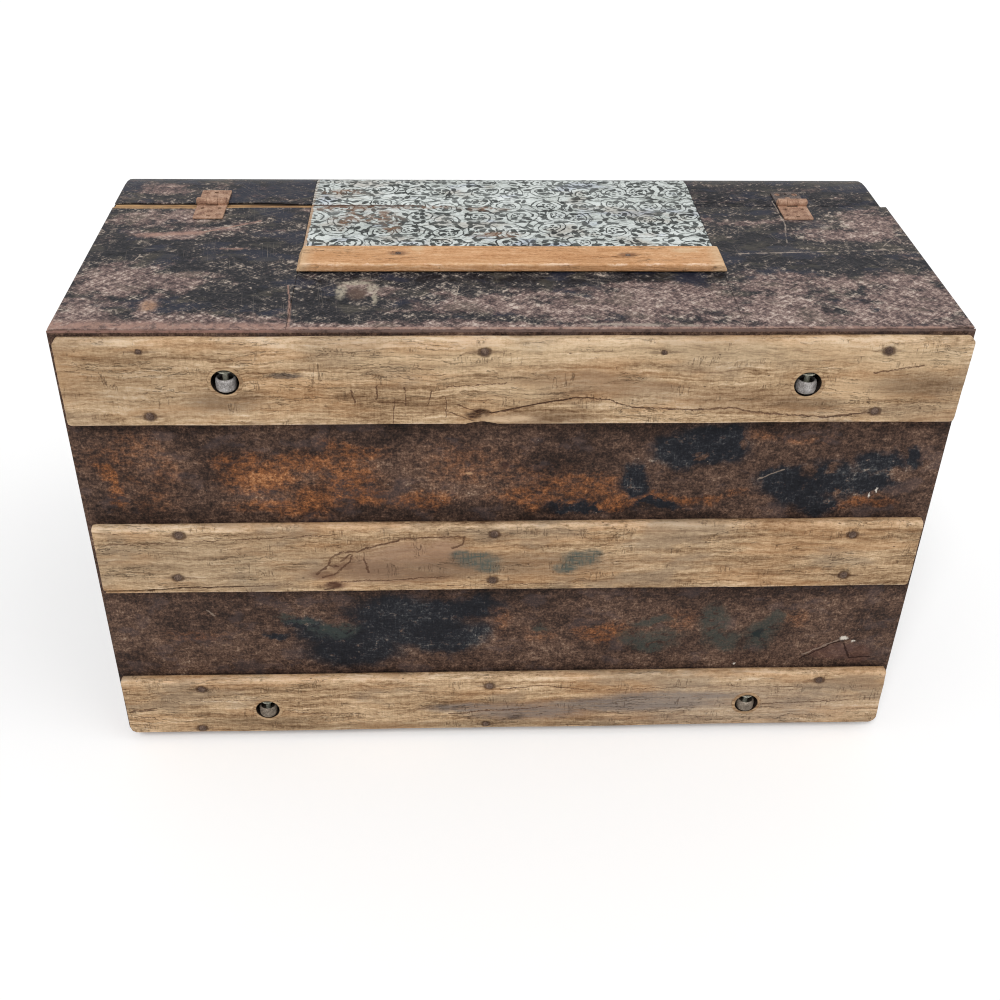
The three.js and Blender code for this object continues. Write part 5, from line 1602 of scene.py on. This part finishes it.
# Pieces that only need their edges softened, by how much
SOFTENED = {
    0.35 * MM: [
        "hinge_body_leaf_left", "hinge_body_leaf_right", "hinge_lid_leaf_left", "hinge_lid_leaf_right",
        "hinge_pin_left", "hinge_pin_right", "lock_plate", "hasp", "hasp_bracket"],
    1.2 * MM: ["handle_strap_left", "handle_strap_right"],
    0.6 * MM: [
        "handle_cap_left_back", "handle_cap_left_front", "handle_cap_right_back", "handle_cap_right_front"],
    0.25 * MM: [
        "back_board", "bottom_sheet", "back_sheet_left", "back_sheet_middle", "back_sheet_right",
        "patterned_panel", "front_sheet", "left_end_sheet", "right_end_sheet", "lid_sheet_left",
        "lid_sheet_middle", "lid_sheet_right", "left_lid_end_sheet", "right_lid_end_sheet"],
}


def soften_pieces(finishes, slots, painted_iron):
    tools = edge_tools()
    for ease, nodes in SOFTENED.items():
        for node in nodes:
            piece = softened(node, "soft_" + node, ease)
            close_seam(piece, node)
            carve(piece, tools.get(node, []))
            smooth(piece)
            finish = painted_iron if node == "hinge_lid_leaf_right" else finishes[slots[node]]
            hand_over(piece, BODY_OF[node], slots[node], finish, node)


bpy.context.scene.view_settings.view_transform = "Standard"
bpy.context.scene.cycles.pixel_filter_type = "BLACKMAN_HARRIS"
bpy.context.scene.cycles.filter_width = 1.1
add_camera()
light_the_scene()
bpy.ops.object.select_all(action="DESELECT")
add_floor()

pale_slats = weathered_wood("pale_slats", PALE_STOPS, 31.0)
tan_slat = tan_wood()
finishes = {
    "boards": board_wood(),
    "pale_slats": pale_slats,
    "tan_slat": tan_slat,
    "rusty_sheet": rusty_sheet(),
    "dark_sheet": dark_sheet(),
    "patterned_tin": patterned_tin(),
    "worn_iron": iron("worn_iron", (64, 60, 58), (104, 98, 94), (176, 172, 168), 0.5),
    "rusty_iron": iron("rusty_iron", *RUSTY_TONES, 0.75, 0.1),
    "strap_leather": strap_leather(),
}
slots = {part["node"]: part["material_slot"] for part in frame["record"]["subparts"]}
for node, slot in slots.items():
    dress(node, finishes[slot])

nail_iron = iron("nail_iron", (50, 36, 30), (88, 68, 56), (138, 116, 100), 0.75, 0.15)
bright_roller = iron("bright_roller", (92, 86, 84), (146, 141, 138), (210, 206, 203), 0.5, 0.25)
brown_roller = iron("brown_roller", (66, 57, 48), (118, 106, 93), (176, 164, 148), 0.6, 0.2)
axle_iron = iron("axle_iron", (84, 82, 70), (128, 128, 114), (206, 202, 186), 0.55, 0.2)
bottom_slats(slat_finishes(), nail_iron)
rollers(bright_roller, brown_roller, cup_finish(), axle_iron)
back_slat_piece(tan_slat, nail_iron)
hidden_slats(pale_slats, nail_iron)
painted_iron = iron(
    "painted_iron", (46, 40, 39), (80, 70, 67), (136, 118, 108), 0.75, 0.1, bared=RUSTY_TONES)
soften_pieces(finishes, slots, painted_iron)
hinge_screws(iron("screw_iron", (104, 76, 60), (146, 112, 92), (184, 152, 130), 0.7, 0.15))
